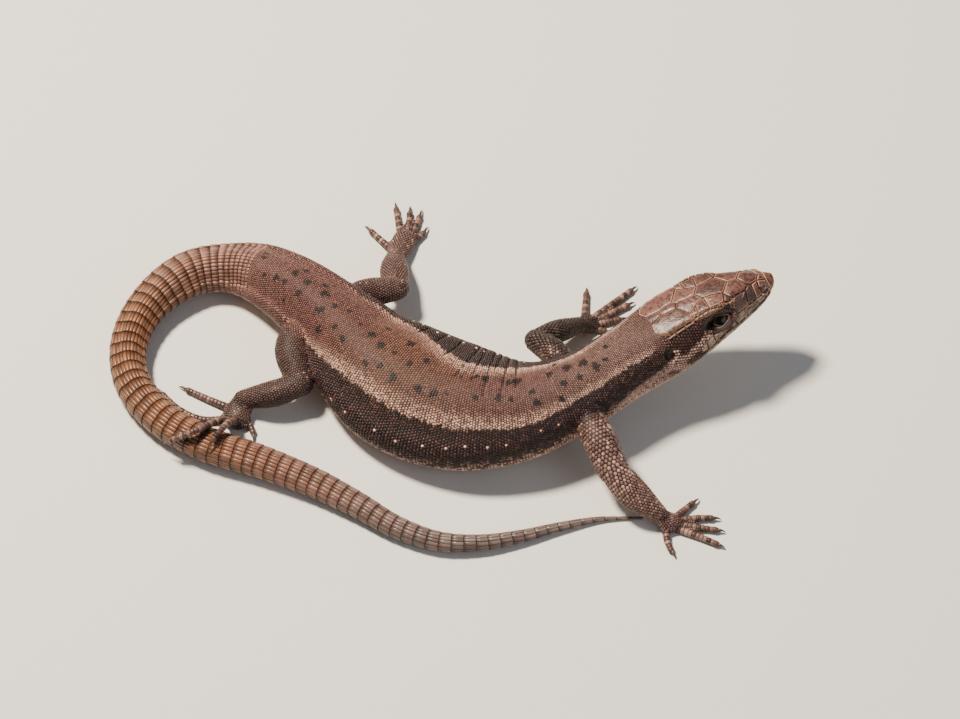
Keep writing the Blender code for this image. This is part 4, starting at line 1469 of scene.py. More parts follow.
# Each ring's radius, height and crest. The low crests inside darken the pit with painted shade.
NOSTRIL_PROFILE = (
    (0.42, 0.06, 1.0), (0.36, 0.20, 1.0), (0.29, 0.24, 1.0),
    (0.24, 0.21, 0.1), (0.20, 0.09, 0.0), (0.08, 0.03, 0.0),
)
for side in (-1, 1):
    spot = NOSTRIL[0], side * NOSTRIL[1]
    back, sideways, out = body_directions(*spot)
    centre = body_point(*spot)
    rings = [
        ring_about(centre + out * height, ring_angles(14), radius * sideways, 1.15 * radius * back)
        for radius, height, _ in NOSTRIL_PROFILE
    ]
    marks = {"head": 1.0, "dark": 0.2, "vary": 0.5}
    crests = [crest for *_, crest in NOSTRIL_PROFILE]
    shield_parts.append((rings, crests, marks, body_patch(*spot), centre))

join_parts("head_shields", shield_parts, shield_horn, "head_scales")

# %% [markdown]
# ## Eyes
#
# The eye is a wet, dark ball with a round pupil in a copper-brown iris and a thin golden ring. It
# looks sideways, a little up. The cornea is the ball itself, so its gloss does the work, with the
# index of refraction of about 1.38 that a cornea has.

# %% Eyeballs
CORNEA_IOR = 1.38
eye_material, eye_tree, eye_shader = blank_material("eye")
turn_from_gaze = add_node(eye_tree, "ShaderNodeAttribute", {"attribute_name": "turn"}).outputs["Fac"]
eye_place = add_node(eye_tree, "ShaderNodeTexCoord").outputs["Object"]
eye_inputs = {"Vector": eye_place, "Scale": 4000.0, "Detail": 3.0}
streaks = add_node(eye_tree, "ShaderNodeTexNoise", None, eye_inputs).outputs["Fac"]
eye_inputs = {0: streaks, 1: 0.06, 2: turn_from_gaze}
wobble = add_node(eye_tree, "ShaderNodeMath", {"operation": "MULTIPLY_ADD"}, eye_inputs)
iris_ramp = add_node(eye_tree, "ShaderNodeValToRGB", None, {"Fac": wobble.outputs[0]})
# Pupil, golden ring and iris, at shares of a quarter turn from the gaze.
EYE_RINGS = (
    (0.0, "#020202"), (0.29, "#020202"), (0.305, "#54401f"),
    (0.33, "#21160c"), (0.48, "#140f0a"), (0.60, "#0a0806"),
)
while len(iris_ramp.color_ramp.elements) < len(EYE_RINGS):
    iris_ramp.color_ramp.elements.new(0.5)
for element, (position, colour) in zip(iris_ramp.color_ramp.elements, EYE_RINGS):
    element.position = position
    element.color = linear(colour)
feed(eye_tree, eye_shader, {"Base Color": iris_ramp.outputs["Color"], "Roughness": 0.04, "IOR": CORNEA_IOR})

for name, side in (("left", 1), ("right", -1)):
    centre, tail, raised, gaze = eye_frame(side)
    bm = bmesh.new()
    bmesh.ops.create_uvsphere(bm, u_segments=48, v_segments=32, radius=EYE_RADIUS * MM)
    for vert in bm.verts:
        x, y, z = vert.co
        vert.co = Vector((centre * MM + x * tail + y * raised + z * gaze).tolist())
    bmesh.ops.recalc_face_normals(bm, faces=bm.faces[:])
    ball = add_object("eyeball_" + name, bm, eye_material)
    offsets = unit(points_of(ball.data) / MM - centre)
    turns = np.arccos(np.clip(offsets @ gaze, -1, 1)) / math.pi * 2
    ball.data.attributes.new("turn", "FLOAT", "POINT").data.foreach_set("value", turns.astype(np.float32))
    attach(ball, "root")
    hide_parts("eye_" + name)
print("eyeballs across in mm:", 2 * EYE_RADIUS)

# %% [markdown]
# ## Eyelids
#
# Two lids of tiny scales leave an opening nearly as long as the eyeball and half as high, which
# comes to a point in front and behind. They are one shell that lies over the ball and then on the
# skin round it, with a few thin folds. Its inner wall reaches down to the ball at the corners.

# %% A point of the lids
# Each ring's distance beyond the rim, its lift and its crest. A low crest darkens the ring with painted
# shade, in the lid folds and down the inner wall.
LID_RINGS = (
    (-0.01, None, 0.0), (0.0, 0.0, 0.5), (0.045, 0.05, 1.0), (0.10, 0.055, 1.0), (0.15, 0.03, 0.4),
    (0.19, 0.01, 0.0), (0.25, 0.04, 0.8), (0.31, 0.045, 1.0), (0.37, 0.025, 0.3), (0.41, 0.01, 0.0),
    (0.47, 0.03, 0.6), (0.60, 0.03, 0.5), (0.75, 0.02, 0.5), (0.90, -0.01, 0.4), (1.0, -0.2, 0.2),
)
LID_SIDES = 72
SHELL_RADIUS = EYE_RADIUS + 0.03
LID_PITCH = 0.17
EYE_MARK = 2.75


def lid_point(side, around, beyond, lift):
    """A point of the lids at an angle round the opening and a distance from its rim."""
    centre, tail, raised, gaze = lid_frame(side)
    across = np.cos(around)[:, None] * tail + np.sin(around)[:, None] * raised
    reach = rim_reach(around) + beyond
    level = centre + reach[:, None] * across
    shell = np.sqrt(np.maximum(SHELL_RADIUS**2 - reach**2, 0.04))
    if lift is None:
        return level + (shell[:, None] - 0.15) * gaze, across, gaze
    height = []
    for spot, low in zip(level, shell):
        start = Vector((spot + 3.0 * gaze).tolist()) * MM
        found = skin_tree.ray_cast(start, Vector((-gaze).tolist()), 3.6 * MM)[0]
        flesh_at = (np.array(found) / MM - centre) @ gaze if found is not None else -1.0
        height.append(max(low, min(flesh_at, EYE_RADIUS)) + lift)
    height = np.array(height)
    if beyond > 0:
        height = (np.roll(height, 1) + 2 * height + np.roll(height, -1)) / 4
    return level + height[:, None] * gaze, across, gaze


print("rings in the lids:", len(LID_RINGS))

# %% Lids and their granules
lid_parts, spots = [], [[] for _ in range(5)]
for side in (1, -1):
    around = ring_angles(LID_SIDES)
    rings = [lid_point(side, around, beyond, lift)[0] for beyond, lift, _ in LID_RINGS]
    marks = {"head": 1.0, "flank": 0.6, "pale": 0.14, "vary": 0.5}
    crests = [crest for *_, crest in LID_RINGS]
    patch = body_patch(EYE_PLACE[0], side * EYE_MARK)
    lid_parts.append((rings, crests, marks, patch, rings[2].mean(axis=0)))
    for row, beyond in enumerate(np.arange(0.52, 0.95, LID_PITCH * PACKING)):
        number = round(2 * math.pi * (1.0 + beyond) / LID_PITCH / 1.1)
        turns = (np.arange(number) + 0.5 * (row % 2)) * 2 * math.pi / number
        point, across, gaze = lid_point(side, turns, beyond, 0.02)
        out = np.tile(gaze, (number, 1))
        for values, made in zip(spots, (point, out, across, np.full(number, side), np.full(number, row))):
            values.append(made)
join_parts("eyelids", lid_parts, scale_horn, "head_scales", cover=False)
point, out, lie, sides, rows_of = (np.concatenate(values) for values in spots)
size = np.array((0.10, 0.095, 0.06)) * rng.uniform(0.9, 1.15, (len(point), 1))
marks = {mark: np.zeros(len(point)) for mark in MARKS}
marks["head"] = np.full(len(point), 0.9)
marks["pale"] = np.where(rows_of < 1, rng.uniform(0.05, 0.35, len(point)), rng.uniform(0, 0.2, len(point)))
marks["flank"] = rng.uniform(0.3, 0.7, len(point))
marks["vary"] = rng.random(len(point))
lid_uv = body_patch(np.full(len(point), EYE_PLACE[0]), sides * EYE_MARK) + 0.006 * lie[:, :2]
lay("lid_granules", granule, point, lie, out, size, marks, lid_uv, "head_scales")

# %% [markdown]
# ## Granules of the trunk, the neck and the cheeks
#
# On the head granules fill what the shields leave free, up to the rims of the eyes and ears. From
# the neck on they cover the back and the flanks down to the edge of the belly plates.

# %% Rows of granules
VENTRAL_EDGE = 5.25
LID_EDGE = 0.98
EAR_EDGE = 0.98
SHIELD_SPARE = 0.12
SHIELDS_END = 17.5


def inside(outline, points):
    """Which (distance, width) points lie inside an outline."""
    x, y = points.T
    within = np.zeros(len(points), bool)
    for (ax, ay), (bx, by) in zip(outline, np.roll(outline, -1, 0)):
        crosses = (ay > y) != (by > y)
        at = ax + (y - ay) * (bx - ax) / np.where(by == ay, 1e-9, by - ay)
        within ^= crosses & (x < at)
    return within


def off_shields(distance, mark):
    """Which places are free of shields, eyes and ears, by a margin in millimetres."""
    points = np.array([(d, width_of(min(d, 19.9), m)) for d, m in zip(distance, mark)])
    free = np.ones(len(points), bool)
    for outline in outlines:
        free &= ~inside(inset(outline, -SHIELD_SPARE), points)
    spots = body_point(distance, mark)
    for side in (-1, 1):
        free &= ear_reach(spots, side) > EAR_EDGE
        free &= beyond_rim(spots, side)[0] > LID_EDGE
    return free


def thinned(rows):
    """Rows without the places that shields, eyes or ears take up."""
    distance, mark, width = rows
    free = np.ones(len(distance), bool)
    front = distance < SHIELDS_END
    free[front] = off_shields(distance[front], mark[front])
    return distance[free], mark[free], width[free]


NAPE = HEAD_END - 1.2
TRUNK_ACROSS = [(0, 40), (55, 36), (60, 33), (64, 30), (68, 27)]
lay_body("head_granules", thinned(body_rows(5.2, NAPE, 2.0, LAST_MARK, [(0, 26)])), "head_scales")
lay_body("neck_granules", thinned(body_rows(NAPE, NECK_END, 0, VENTRAL_EDGE, [(0, 34)])), "neck_scales")
lay_body("trunk_granules", body_rows(NECK_END, VENT + 3.5, 0, VENTRAL_EDGE, TRUNK_ACROSS), "trunk_scales")

# %% [markdown]
# ## The tail's rings
#
# The tail is covered by rings of long scales, each with a low keel, which is what lets it grip and
# snap. A ring is about 1.4 mm long, and its scales are 0.45 mm wide, so rings near the tip have
# fewer of them.

# %% Lay the tail
TAIL_START = VENT + 2.6
RING_LENGTH = 1.42
FIRST_RING = 0.5
TAIL_PITCH = 0.46


def ring_places(distance):
    """Landmark numbers and half widths of scales side by side, equal in width, on one side."""
    marks = np.linspace(0, LAST_MARK, 80)
    gaps = np.linalg.norm(np.diff(body_point(distance, marks), axis=0), axis=1)
    lengths = np.concatenate([[0], np.cumsum(gaps)])
    number = max(5, round(lengths[-1] / TAIL_PITCH))
    edges = np.interp(np.linspace(0, lengths[-1], number + 1), lengths, marks)
    return (edges[1:] + edges[:-1]) / 2, (edges[1:] - edges[:-1]) / 2


def both_sides(places):
    """Start, signed landmark, half width and length of the scales in rings between places."""
    rows = []
    for place, after in zip(places, places[1:]):
        marks, halves = ring_places((place + after) / 2)
        for side in (-1, 1):
            rows += [(place, side * mark, half, after - place) for mark, half in zip(marks, halves)]
    return np.array(rows).T


tail_places = [TAIL_START]
while tail_places[-1] < TAIL_TIP - 0.6:
    grown = float(step(VENT, VENT + 14, tail_places[-1]))
    tail_places.append(tail_places[-1] + FIRST_RING + (RING_LENGTH - FIRST_RING) * grown)
start, mark, half, length = both_sides(tail_places)
middle = start + length / 2
thin = np.clip(along(HALF_WIDTH, start) / 2.4, 0.3, 1)
wrap(
    "tail_rings", keeled, body_surface, start - 0.03, length * 0.985, mark, half * 0.96,
    0.12 * thin * rng.uniform(0.9, 1.1, len(start)), body_marks(middle, mark, body_point(middle, mark)),
    body_patch(middle, mark), "tail_scales",
)

tip_marks = np.linspace(-LAST_MARK, LAST_MARK, 12, endpoint=False)
# The point's rings as (distance, growth, crest).
tip_steps = (
    (tail_places[-1] - 0.12, -0.16, 0.0), (tail_places[-1] - 0.10, -0.07, 0.8), (TAIL_TIP - 0.25, -0.09, 1.0),
    (TAIL_TIP - 0.05, -0.15, 1.0), (TAIL_TIP, -0.22, 1.0),
)
tip_rings = np.array([body_point(place, tip_marks, grow) for place, grow, _ in tip_steps])
tip_look = {"tail": 0.55, "grey": 0.85, "vary": 0.5}
tip_crests = [crest for *_, crest in tip_steps]
tip_part = (tip_rings, tip_crests, tip_look, body_patch(TAIL_TIP - 0.5, 0.0), tip_rings[1].mean(axis=0))
join_parts("tail_point", [tip_part], scale_horn, "tail_scales")

# %% [markdown]
# ## Belly and throat
#
# The belly is paved with six rows of smooth, wide plates, and a collar of larger scales crosses
# the throat where the neck begins. None of this shows from above, but a museum model is seen from
# all sides.

# %% Belly plates
BELLY_PLATE = 1.35
PLATE_HEIGHT = 0.1
COLLAR_PLACE = NECK_END - 0.4


def lay_plates(name, places, plate_length, low, number, slot):
    """Rows of plates across the underside, the number of them on each side."""
    rows = []
    edges = np.linspace(low, LAST_MARK, number + 1)
    for place in places:
        for side in (-1, 1):
            rows += [(place, side * (a + b) / 2, (b - a) / 2) for a, b in zip(edges, edges[1:])]
    start, mark, half = np.array(rows).T
    middle = start + plate_length / 2
    marks = body_marks(middle, mark, body_point(middle, mark))
    marks["pale"] *= 0.2
    wrap(
        name, broad, body_surface, start, plate_length * 0.97, mark, half * 0.96,
        PLATE_HEIGHT, marks, body_patch(middle, mark), slot,
    )


belly_places = NECK_END + 1.0 + BELLY_PLATE * np.arange(int((VENT + 1.5 - NECK_END) / BELLY_PLATE))
lay_plates("belly_plates", belly_places, BELLY_PLATE, VENTRAL_EDGE, 3, "trunk_scales")
lay_plates("collar", [COLLAR_PLACE], 1.3, 4.9, 5, "neck_scales")
lay_body("throat_granules", body_rows(NAPE, COLLAR_PLACE, VENTRAL_EDGE, LAST_MARK, [(0, 12)]), "neck_scales")

# %% [markdown]
# ## Scales of the legs
#
# The hind legs are covered by very fine granules. The forelegs have round, bead-like scales that
# are largest at the elbow, and a row of wide plates along the front edge. A limb's scales are laid
# in rings and snapped to the skin. One that would stand on a scale already laid is left out. Where
# a leg leaves the body its colour comes in over two millimetres, as there is no edge in life.

# %% Rows on a limb
def limb_rows(joints, grow, pitch, flatness):
    """Roots in offset rings round a limb: lengths, angles and widths."""
    lengths, angles, widths = [], [], []
    place, odd = 0.0, False
    while place < limb_length(joints):
        wide = pitch(place) if callable(pitch) else pitch
        radius = float(limb_frame(joints, place)[-1])
        number = max(5, round(2 * math.pi * (radius + grow) * (0.5 + 0.5 * flatness) / wide))
        turns = (np.arange(number) + (0.5 if odd else 0)) * 2 * math.pi / number
        lengths.append(np.full(number, place))
        angles.append(turns)
        widths.append(np.full(number, wide))
        place += wide * PACKING
        odd = not odd
    return np.concatenate(lengths), np.concatenate(angles), np.concatenate(widths)


PATCH_ROWS = {"upper": 0.01, "lower": 0.22, "palm": 0.43, 1: 0.52, 2: 0.61, 3: 0.70, 4: 0.79, 5: 0.88}


def limb_patch(name, row, length, angle):
    """A root's place in the leg's own band of the map, in the row of its part or toe."""
    left = 0.51 + 0.122 * list(LEGS).index(name)
    across = (angle % (2 * math.pi)) / (2 * math.pi)
    pace = 0.018 if row in ("upper", "lower") else 0.011
    return np.stack((left + 0.115 * across, PATCH_ROWS[row] + pace * length), axis=-1)


print("roots laid so far:", sum(len(roots) for roots, *_ in covered))

# %% Markings of leg scales
# How dark each leg is, from the flank's shadow and from its own limb colour.
LEG_DARK = {"left_fore": 0.85, "right_fore": 0.03, "left_hind": 0.0, "right_hind": 0.2}
LEG_SHADE = {"left_fore": 0.45, "right_fore": 0.45, "left_hind": 0.55, "right_hind": 1.0}


def limb_marks(count, shade, pale, belly=0.0, dark=0.0):
    """The markings of leg scales: shade of limb colour, and a random share of pale ones that are partly
    painted highlight.
    """
    chance = rng.random(count)
    marks = {mark: np.zeros(count) for mark in MARKS}
    marks["limb"] = np.full(count, shade)
    # Pale scales by chance and a faint pale on all the rest: partly the leg's own pale spots, partly painted
    # highlight for the glint on each scale.
    marks["pale"] = np.where(chance < pale, rng.uniform(0.12, 0.42, count), 0.15 * pale)
    marks["grey"] = np.full(count, 0.35)
    marks["belly"] = np.zeros(count) + belly
    marks["dark"] = np.zeros(count) + dark
    marks["vary"] = rng.random(count)
    return marks


print("how dark the legs are:", LEG_DARK)

# %% Plates of the forelegs
# Each part's plates as (length, first place, last place), at an angle from the top.
FRONT_PLATES = {"upper": (0.85, 1.2, 6.2), "lower": (0.75, 0.7, 5.6)}
FRONT_TURN = math.radians(68)
FRONT_HALF = math.radians(30)


def limb_surface(joints, grow):
    """The surface of a limb, as wrap asks for it."""
    def surface(length, angle):
        point = limb_point(joints, length.reshape(-1), angle.reshape(-1), grow, lowest=0.03)
        _, _, side, up, _ = limb_frame(joints, length.reshape(-1))
        turn = angle.reshape(-1)[:, None]
        out = np.sin(turn) * side + np.cos(turn) * up
        return point.reshape(*length.shape, 3), out.reshape(*length.shape, 3)
    return surface


def front_turn(name, part):
    """The angle of a foreleg's front edge."""
    joints = LEGS[name][part]
    side = limb_frame(joints, limb_length(joints) / 2)[2]
    return math.copysign(FRONT_TURN, side[0] + (1.0 if part == "lower" and name == "left_fore" else 0.0))


def lay_front_plates(name, part):
    """A row of wide plates down the front edge of a foreleg."""
    plate_length, first, last = FRONT_PLATES[part]
    start = np.arange(first, last, plate_length)
    turn = np.full(len(start), front_turn(name, part))
    half = np.where(np.arange(len(start)) % 2 == 0, 1.0, 0.92) * FRONT_HALF
    marks = limb_marks(len(start), 0.8, 0.5, 0.0, LEG_DARK[name])
    wrap(
        f"{name}_{part}_plates", broad, limb_surface(LEGS[name][part], -LEG_COAT), start,
        plate_length * 0.93, turn, half, 0.08, marks, limb_patch(name, part, start, turn), "leg_scales",
    )


# %% Granules and beads of the legs
BEAD = {
    "upper": lambda place: 0.40 + 0.16 * min(place / 7.5, 1),
    "lower": lambda place: 0.54 - 0.16 * min(place / 4.0, 1),
}
HIND_PITCH = 0.33
PALM_PITCH = 0.32
BLEND = 2.4


def lay_limb(name, part, grow, pitch, shape, pale, flatness=1.0):
    """Granules or beads on a part of a leg, where no scale stands yet."""
    joints = LEGS[name][part]
    length, angle, width = limb_rows(joints, grow, pitch, flatness)
    length = length + rng.normal(0, 0.02, len(length))
    points = limb_point(joints, length, angle, grow, flatness, lowest=0.05)
    _, forward, _, _, _ = limb_frame(joints, length)
    roots, lie, out, kept = on_skin(points, forward)
    laid_tree = tree_of(np.concatenate([laid for laid, *_ in covered]))
    found = [laid_tree.find(point) for point in roots]
    gap = np.array([place[2] for place in found])
    free = gap > 0.62 * width[kept]
    if "fore" in name and part != "palm":
        plate_length, first, last = FRONT_PLATES[part]
        turned = (angle[kept] - front_turn(name, part) + math.pi) % (2 * math.pi) - math.pi
        along_it = length[kept]
        free &= (np.abs(turned) > FRONT_HALF + 0.12) | (along_it < first - 0.1) | (along_it > last + 0.3)
    roots, lie, out, kept = roots[free], lie[free], out[free], kept[free]
    size = width[kept, None] * np.array(shape) * rng.uniform(0.92, 1.08, (len(kept), 1))
    under = step(1.9, 2.7, np.abs((angle[kept] + math.pi) % (2 * math.pi) - math.pi))
    marks = limb_marks(len(kept), LEG_SHADE[name], pale, 0.75 * under, LEG_DARK[name])
    if part == "upper":
        taken = np.array([place[1] for place in found])[free]
        share = 1 - step(0.4, BLEND, gap[free])
        for mark in ("limb", "grey", "flank", "belly", "dark"):
            before = np.concatenate([laid[mark] for _, laid, _ in covered])[taken]
            marks[mark] += (before - marks[mark]) * share
    uv = limb_patch(name, part, length[kept], angle[kept])
    scale = bead if "fore" in name else granule
    slot = "foot_scales" if part == "palm" else "leg_scales"
    lay(f"{name}_{part}", scale, roots, lie, out, size, marks, uv, slot)


for name in LEGS:
    fore = "fore" in name
    if fore:
        for part in FRONT_PLATES:
            lay_front_plates(name, part)
    # The pale beads of the forelegs are partly their own pale spots and partly painted highlight.
    for part, pale in (("upper", 0.30), ("lower", 0.35)):
        pitch = BEAD[part] if fore else HIND_PITCH
        lay_limb(name, part, -LEG_COAT, pitch, (0.53, 0.50, 0.22), pale if fore else 0.03)
    lay_limb(name, "palm", -TOE_COAT, PALM_PITCH, (0.53, 0.50, 0.20), 0.10, PALM_FLATNESS)

# %% [markdown]
# ## Bands of the toes
#
# A toe is ringed by bands half a millimetre long. Above is one wide plate, below a lamella that
# grips the rock. Pale bands alternate with dark ones, which gives the toes their striped look. The
# last scale is a sheath that holds the claw's base.

# %% Lay the bands
TOE_BAND = 0.5
TOE_HALVES = ((0.0, 1.95), (math.pi, 1.19))
# Each ring of a sheath: its share of the way to the claw, its radius and its crest.
SHEATH = (
    (0.0, 0.33, 0), (0.0, 0.385, 0.7), (0.2, 0.395, 1), (0.42, 0.37, 1), (0.60, 0.31, 1),
    (0.70, 0.24, 0.8), (0.66, 0.17, 0.2),
)
SHEATH_LOOKS = {"limb": 1.0, "dark": 0.25, "vary": 0.5}
band = long_scale(ROUNDED, [(0.0, -0.5), (0.03, 0.62), (0.3, 0.85), (0.8, 1.0), (0.98, 0.8), (1.0, -0.5)])
sheaths = []


def sheath_rings(joints, line, claw_length):
    """A tapered collar from the last band to the claw's base."""
    base = through(line, limb_length(line) - claw_length) + CENTRE
    last = through(joints, limb_length(joints))[:3] + CENTRE
    forward = unit(base - last)
    side, up = side_and_up(forward)
    reach = (float(np.linalg.norm(base - last)) + 0.12) / SHEATH[-2][0]
    return [
        ring_about(last + forward * reach * share, ring_angles(14), radius * side, 0.95 * radius * up)
        for share, radius, _ in SHEATH
    ]


for name, leg in LEGS.items():
    for number, (joints, line) in enumerate(zip(TOES[name], leg["toes"]), start=1):
        total = limb_length(joints) + 0.05
        places, span = np.linspace(0, total, round(total / TOE_BAND), endpoint=False, retstep=True)
        start, turn, half = np.array([(place, *halves) for place in places for halves in TOE_HALVES]).T
        among = len(start)
        marks = limb_marks(among, 1.0, 0.0)
        top = turn < 1
        striped = rng.random(among) < np.where(np.arange(among) // 2 % 2 == 0, 0.8, 0.1)
        marks["pale"] = np.where(top & striped, rng.uniform(0.05, 0.3, among), 0.02)
        marks["dark"] = np.where(top & ~striped, rng.uniform(0.2, 0.6, among), 0.1)
        wrap(
            f"{name}_toe_{number}", band, limb_surface(joints, -TOE_COAT), start, span * 0.93, turn,
            half * 0.98, 0.07, marks, limb_patch(name, number, start, turn + 0.2), "foot_scales",
        )
        rings = sheath_rings(joints, line, leg["claw"])
        patch = limb_patch(name, number, total + 1.0, 0.2)
        sheaths.append((rings, [crest for *_, crest in SHEATH], SHEATH_LOOKS, patch, rings[2].mean(axis=0)))
join_parts("claw_sheaths", sheaths, scale_horn, "foot_scales")

# %% [markdown]
# ## Claws
#
# A claw is a narrow hook of dark horn, deeper than it is wide, that rises from the last scale and
# curves down to a sharp tip. The frame holds a plain cone for it, which this one replaces.

# %% Hooked claws
CLAW_LIFT = 0.16
CLAW_FALL = 0.22
CLAW_TIP_RADIUS = 0.03
CLAW_ROOT = -0.22
CLAW_NARROW = 0.72
claw_horn, claw_tree, claw_shader = blank_material("claw horn")
claw_place = add_node(claw_tree, "ShaderNodeTexCoord").outputs["Object"]
claw_inputs = {"Vector": claw_place, "Scale": 1500.0, "Detail": 2.0}
claw_noise = add_node(claw_tree, "ShaderNodeTexNoise", None, claw_inputs)
claw_inputs = {"Factor": claw_noise.outputs["Fac"], 6: linear("#1b130e"), 7: linear("#59432f")}
claw_tone = add_node(claw_tree, "ShaderNodeMix", {"data_type": "RGBA"}, claw_inputs)
feed(claw_tree, claw_shader, {"Base Color": claw_tone.outputs[2], "Roughness": 0.35, "IOR": HORN_IOR})


def claw_rings(line, claw_length, steps=11, sides=10):
    """Rings of a hook along the end of a toe's line, narrower than they are deep."""
    total = limb_length(line)
    side, up = side_and_up(unit(through(line, total) - through(line, total - claw_length)))
    rings = []
    for part in np.linspace(CLAW_ROOT, 1, steps):
        spot = through(line, total - (1 - part) * claw_length) + CENTRE
        spot[2] += CLAW_LIFT * math.sin(math.pi * max(part, 0)) - CLAW_FALL * part**2
        radius = CLAW_TIP_RADIUS + (CLAW_RADIUS - CLAW_TIP_RADIUS) * min(1 - part, 1) ** 0.8
        rings.append(ring_about(spot, ring_angles(sides), CLAW_NARROW * radius * side, radius * up))
    rings = np.array(rings)
    rings[..., 2] = np.maximum(rings[..., 2], 0.01)
    return rings


for name, leg in LEGS.items():
    for number, line in enumerate(leg["toes"], start=1):
        claw = add_object(f"{name}_hook_{number}", sweep(claw_rings(line, leg["claw"])), claw_horn)
        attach(claw, "root")
        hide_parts(f"{name}_claw_{number}")
print("claws:", sum(len(leg["toes"]) for leg in LEGS.values()))

# %% [markdown]
# ## Granules in the gaps
#
# Where limbs meet the body, on the soles and between the shields of the face, real skin is
# sprinkled with small granules. A point of the skin counts as bare if no scale stands over it or
# close beside it. Bare points are thinned to an even spacing and get a small granule each, with
# the markings of the nearest scale.

# %% Where the skin is bare
GAP_PITCH = 0.24
GAP_SIZE = (0.145, 0.135, 0.055)
BESIDE = 0.07
SHIFTS = list(itertools.product((-1, 0, 1), repeat=3))


def stacked_tree(shapes):
    """One tree of all the triangles laid so far, in millimetres."""
    starts = np.cumsum([0] + [len(points) for points, _ in shapes])
    triangles = np.concatenate([triangles + start for (_, triangles), start in zip(shapes, starts)])
    return BVHTree.FromPolygons(np.concatenate([points for points, _ in shapes]).tolist(), triangles.tolist())


scale_roots = np.concatenate([roots for roots, *_ in covered])
scale_marks = {mark: np.concatenate([marks[mark] for _, marks, _ in covered]) for mark in MARKS}
scale_uv = np.concatenate([uv for *_, uv in covered])
root_tree = tree_of(scale_roots)
coat_tree = stacked_tree(coat_shapes)
skin_ends = np.array([edge.vertices[:] for edge in skin.data.edges])
skin_mm = np.concatenate([skin_points, skin_points[skin_ends].mean(axis=1)]) / MM
skin_out = unit(np.concatenate([skin_normals, skin_normals[skin_ends].mean(axis=1)]))


def bare(point, out):
    """Whether no scale stands over the skin at a point or a little beside it."""
    across = unit(np.cross(out, (0.31, 0.52, 0.79)))
    other = np.cross(out, across)
    for offset in (0 * across, across, -across, other, -other):
        start = point + BESIDE * offset - 0.05 * out
        if coat_tree.ray_cast(Vector(start.tolist()), Vector(out.tolist()), 0.4)[0] is not None:
            return False
    return True


def crowded(point, cell):
    """Whether a granule was already placed too near, in this cell of the grid or beside it."""
    x, y, z = cell
    around = ((x + i, y + j, z + k) for i, j, k in SHIFTS)
    near = (skin_mm[other] for key in around if key in grid for other in grid[key])
    return any(np.linalg.norm(point - other) < GAP_PITCH for other in near)


print("scales laid:", len(scale_roots), "places looked at:", len(skin_mm))

# %% Fill the bare skin
allowed = np.ones(len(skin_mm), bool)
for side in (-1, 1):
    allowed &= ear_reach(skin_mm, side) > 0.95
    allowed &= beyond_rim(skin_mm, side)[0] > 0.8
taken, grid = [], {}
for index in rng.permutation(np.flatnonzero(allowed)):
    point = skin_mm[index]
    cell = tuple(np.floor(point / GAP_PITCH).astype(int))
    if not crowded(point, cell) and bare(point, skin_out[index]):
        grid.setdefault(cell, []).append(index)
        taken.append(index)
out = skin_out[taken]
lie = unit(np.cross(out, (0.2, 0.9, 0.4)))
places = skin_mm[taken]
nearest = np.array([root_tree.find(point)[1] for point in places])
marks = {mark: scale_marks[mark][nearest] for mark in MARKS}
marks["vary"] = rng.random(len(taken))
size = np.array(GAP_SIZE) * rng.uniform(0.85, 1.15, (len(taken), 1))
fill_uv = scale_uv[nearest] + 0.011 * (places - scale_roots[nearest])[:, :2]
lay("gap_granules", granule, places, lie, out, size, marks, fill_uv, "trunk_scales")
print("granules in gaps:", len(taken))

# %% [markdown]
# ## The skin takes its colours from the scales
#
# Between the scales a little skin shows. Each of its points takes the markings of the nearest
# scale, so the pattern runs on without a break, and its material darkens it with painted shade,
# as in the seams between scales.

# %% Markings of the skin
nearest = np.array([root_tree.find(point / MM)[1] for point in skin_points])
for mark in MARKS:
    values = scale_marks[mark][nearest]
    skin.data.attributes.new(mark, "FLOAT", "POINT").data.foreach_set("value", values.astype(np.float32))
skin.data.materials.clear()
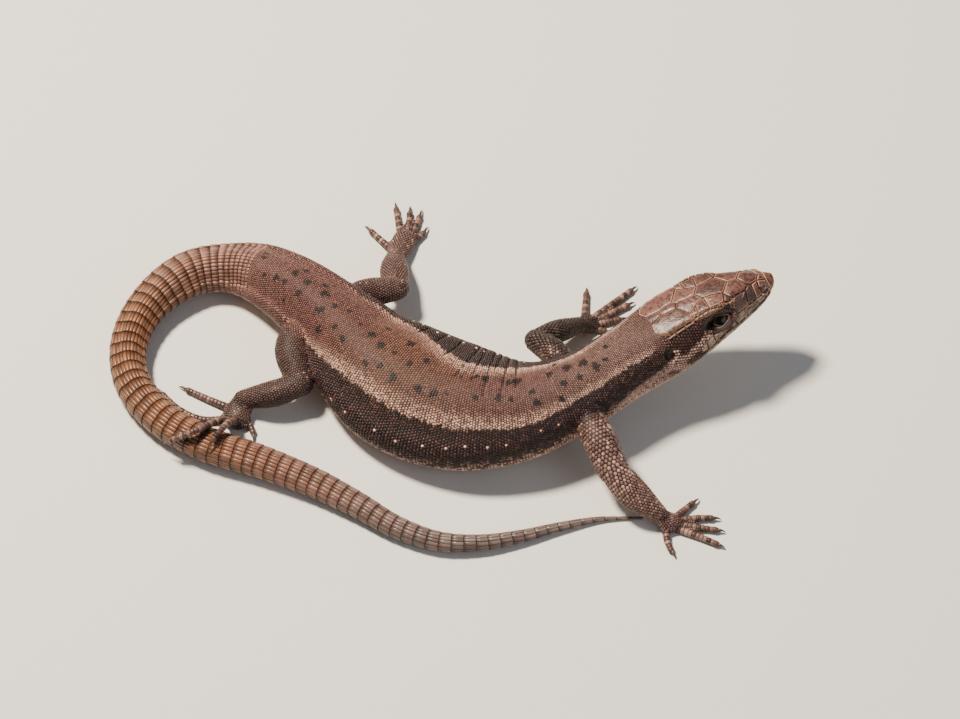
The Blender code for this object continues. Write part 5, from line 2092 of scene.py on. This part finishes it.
# The skin's material paints nearly all of it in the painted shade of the seams.
skin.data.materials.append(shaded_bare_skin)
flesh_nodes = ["head", "lower_jaw", "neck", "trunk", "ear_drum_left", "ear_drum_right"]
flesh_nodes += [f"tail_{number}" for number in range(1, 7)]
flesh_nodes += [f"{name}_{part}" for name in LEGS for part in ("upper", "lower", "foot")]
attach(skin, "root")
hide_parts(*flesh_nodes)
print("nodes that the skin replaces:", len(flesh_nodes))

# %% [markdown]
# ## Floor, light and camera
#
# The model lies on a plain pale floor. A large soft light stands high on the left, where the sun
# would be, a weaker one fills from the right, and the world gives an even grey. The camera looks
# down on the lizard's right side from well back, with a long lens, as one does to keep a small
# animal at its ease.

# %% The stage
VIEW_ANGLE = math.radians(35)
CAMERA_DISTANCE = 0.560
LENS = 174.3


def add_light(name, place, size, power, colour):
    light = bpy.data.lights.new(name, "AREA")
    light.shape = "DISK"
    light.size = size
    light.energy = power
    light.color = linear(colour)[:3]
    lamp = linked(name, light)
    lamp.location = place
    lamp.rotation_euler = (-Vector(place)).to_track_quat("-Z", "Y").to_euler()


floor_material, floor_tree, floor_shader = blank_material("pale floor")
feed(floor_tree, floor_shader, {"Base Color": linear("#d9d6d0"), "Roughness": 0.85})
floor_bm = bmesh.new()
bmesh.ops.create_grid(floor_bm, x_segments=1, y_segments=1, size=1.5)
floor = add_object("floor", floor_bm, floor_material)

add_light("key", (-0.20, 0.13, 0.46), 0.09, 7.8, "#fff1dd")
add_light("fill", (0.35, -0.30, 0.30), 0.40, 0.6, "#e4edff")
world = bpy.data.worlds.new("studio")
world.use_nodes = True
backdrop = {"Color": linear("#e8ecf2"), "Strength": 0.24}
feed(world.node_tree, world.node_tree.nodes["Background"], backdrop)
bpy.context.scene.world = world

lens = bpy.data.cameras.new("camera")
lens.lens = LENS
lens.sensor_width = 36
lens.clip_start = 0.01
camera = linked("camera", lens)
toward = np.array((0.0, -math.sin(VIEW_ANGLE), math.cos(VIEW_ANGLE)))
camera.location = Vector((CENTRE * MM + CAMERA_DISTANCE * toward).tolist())
camera.rotation_euler = (VIEW_ANGLE, 0, 0)
bpy.context.scene.camera = camera
print("the camera stands", CAMERA_DISTANCE, "m from the lizard's middle")
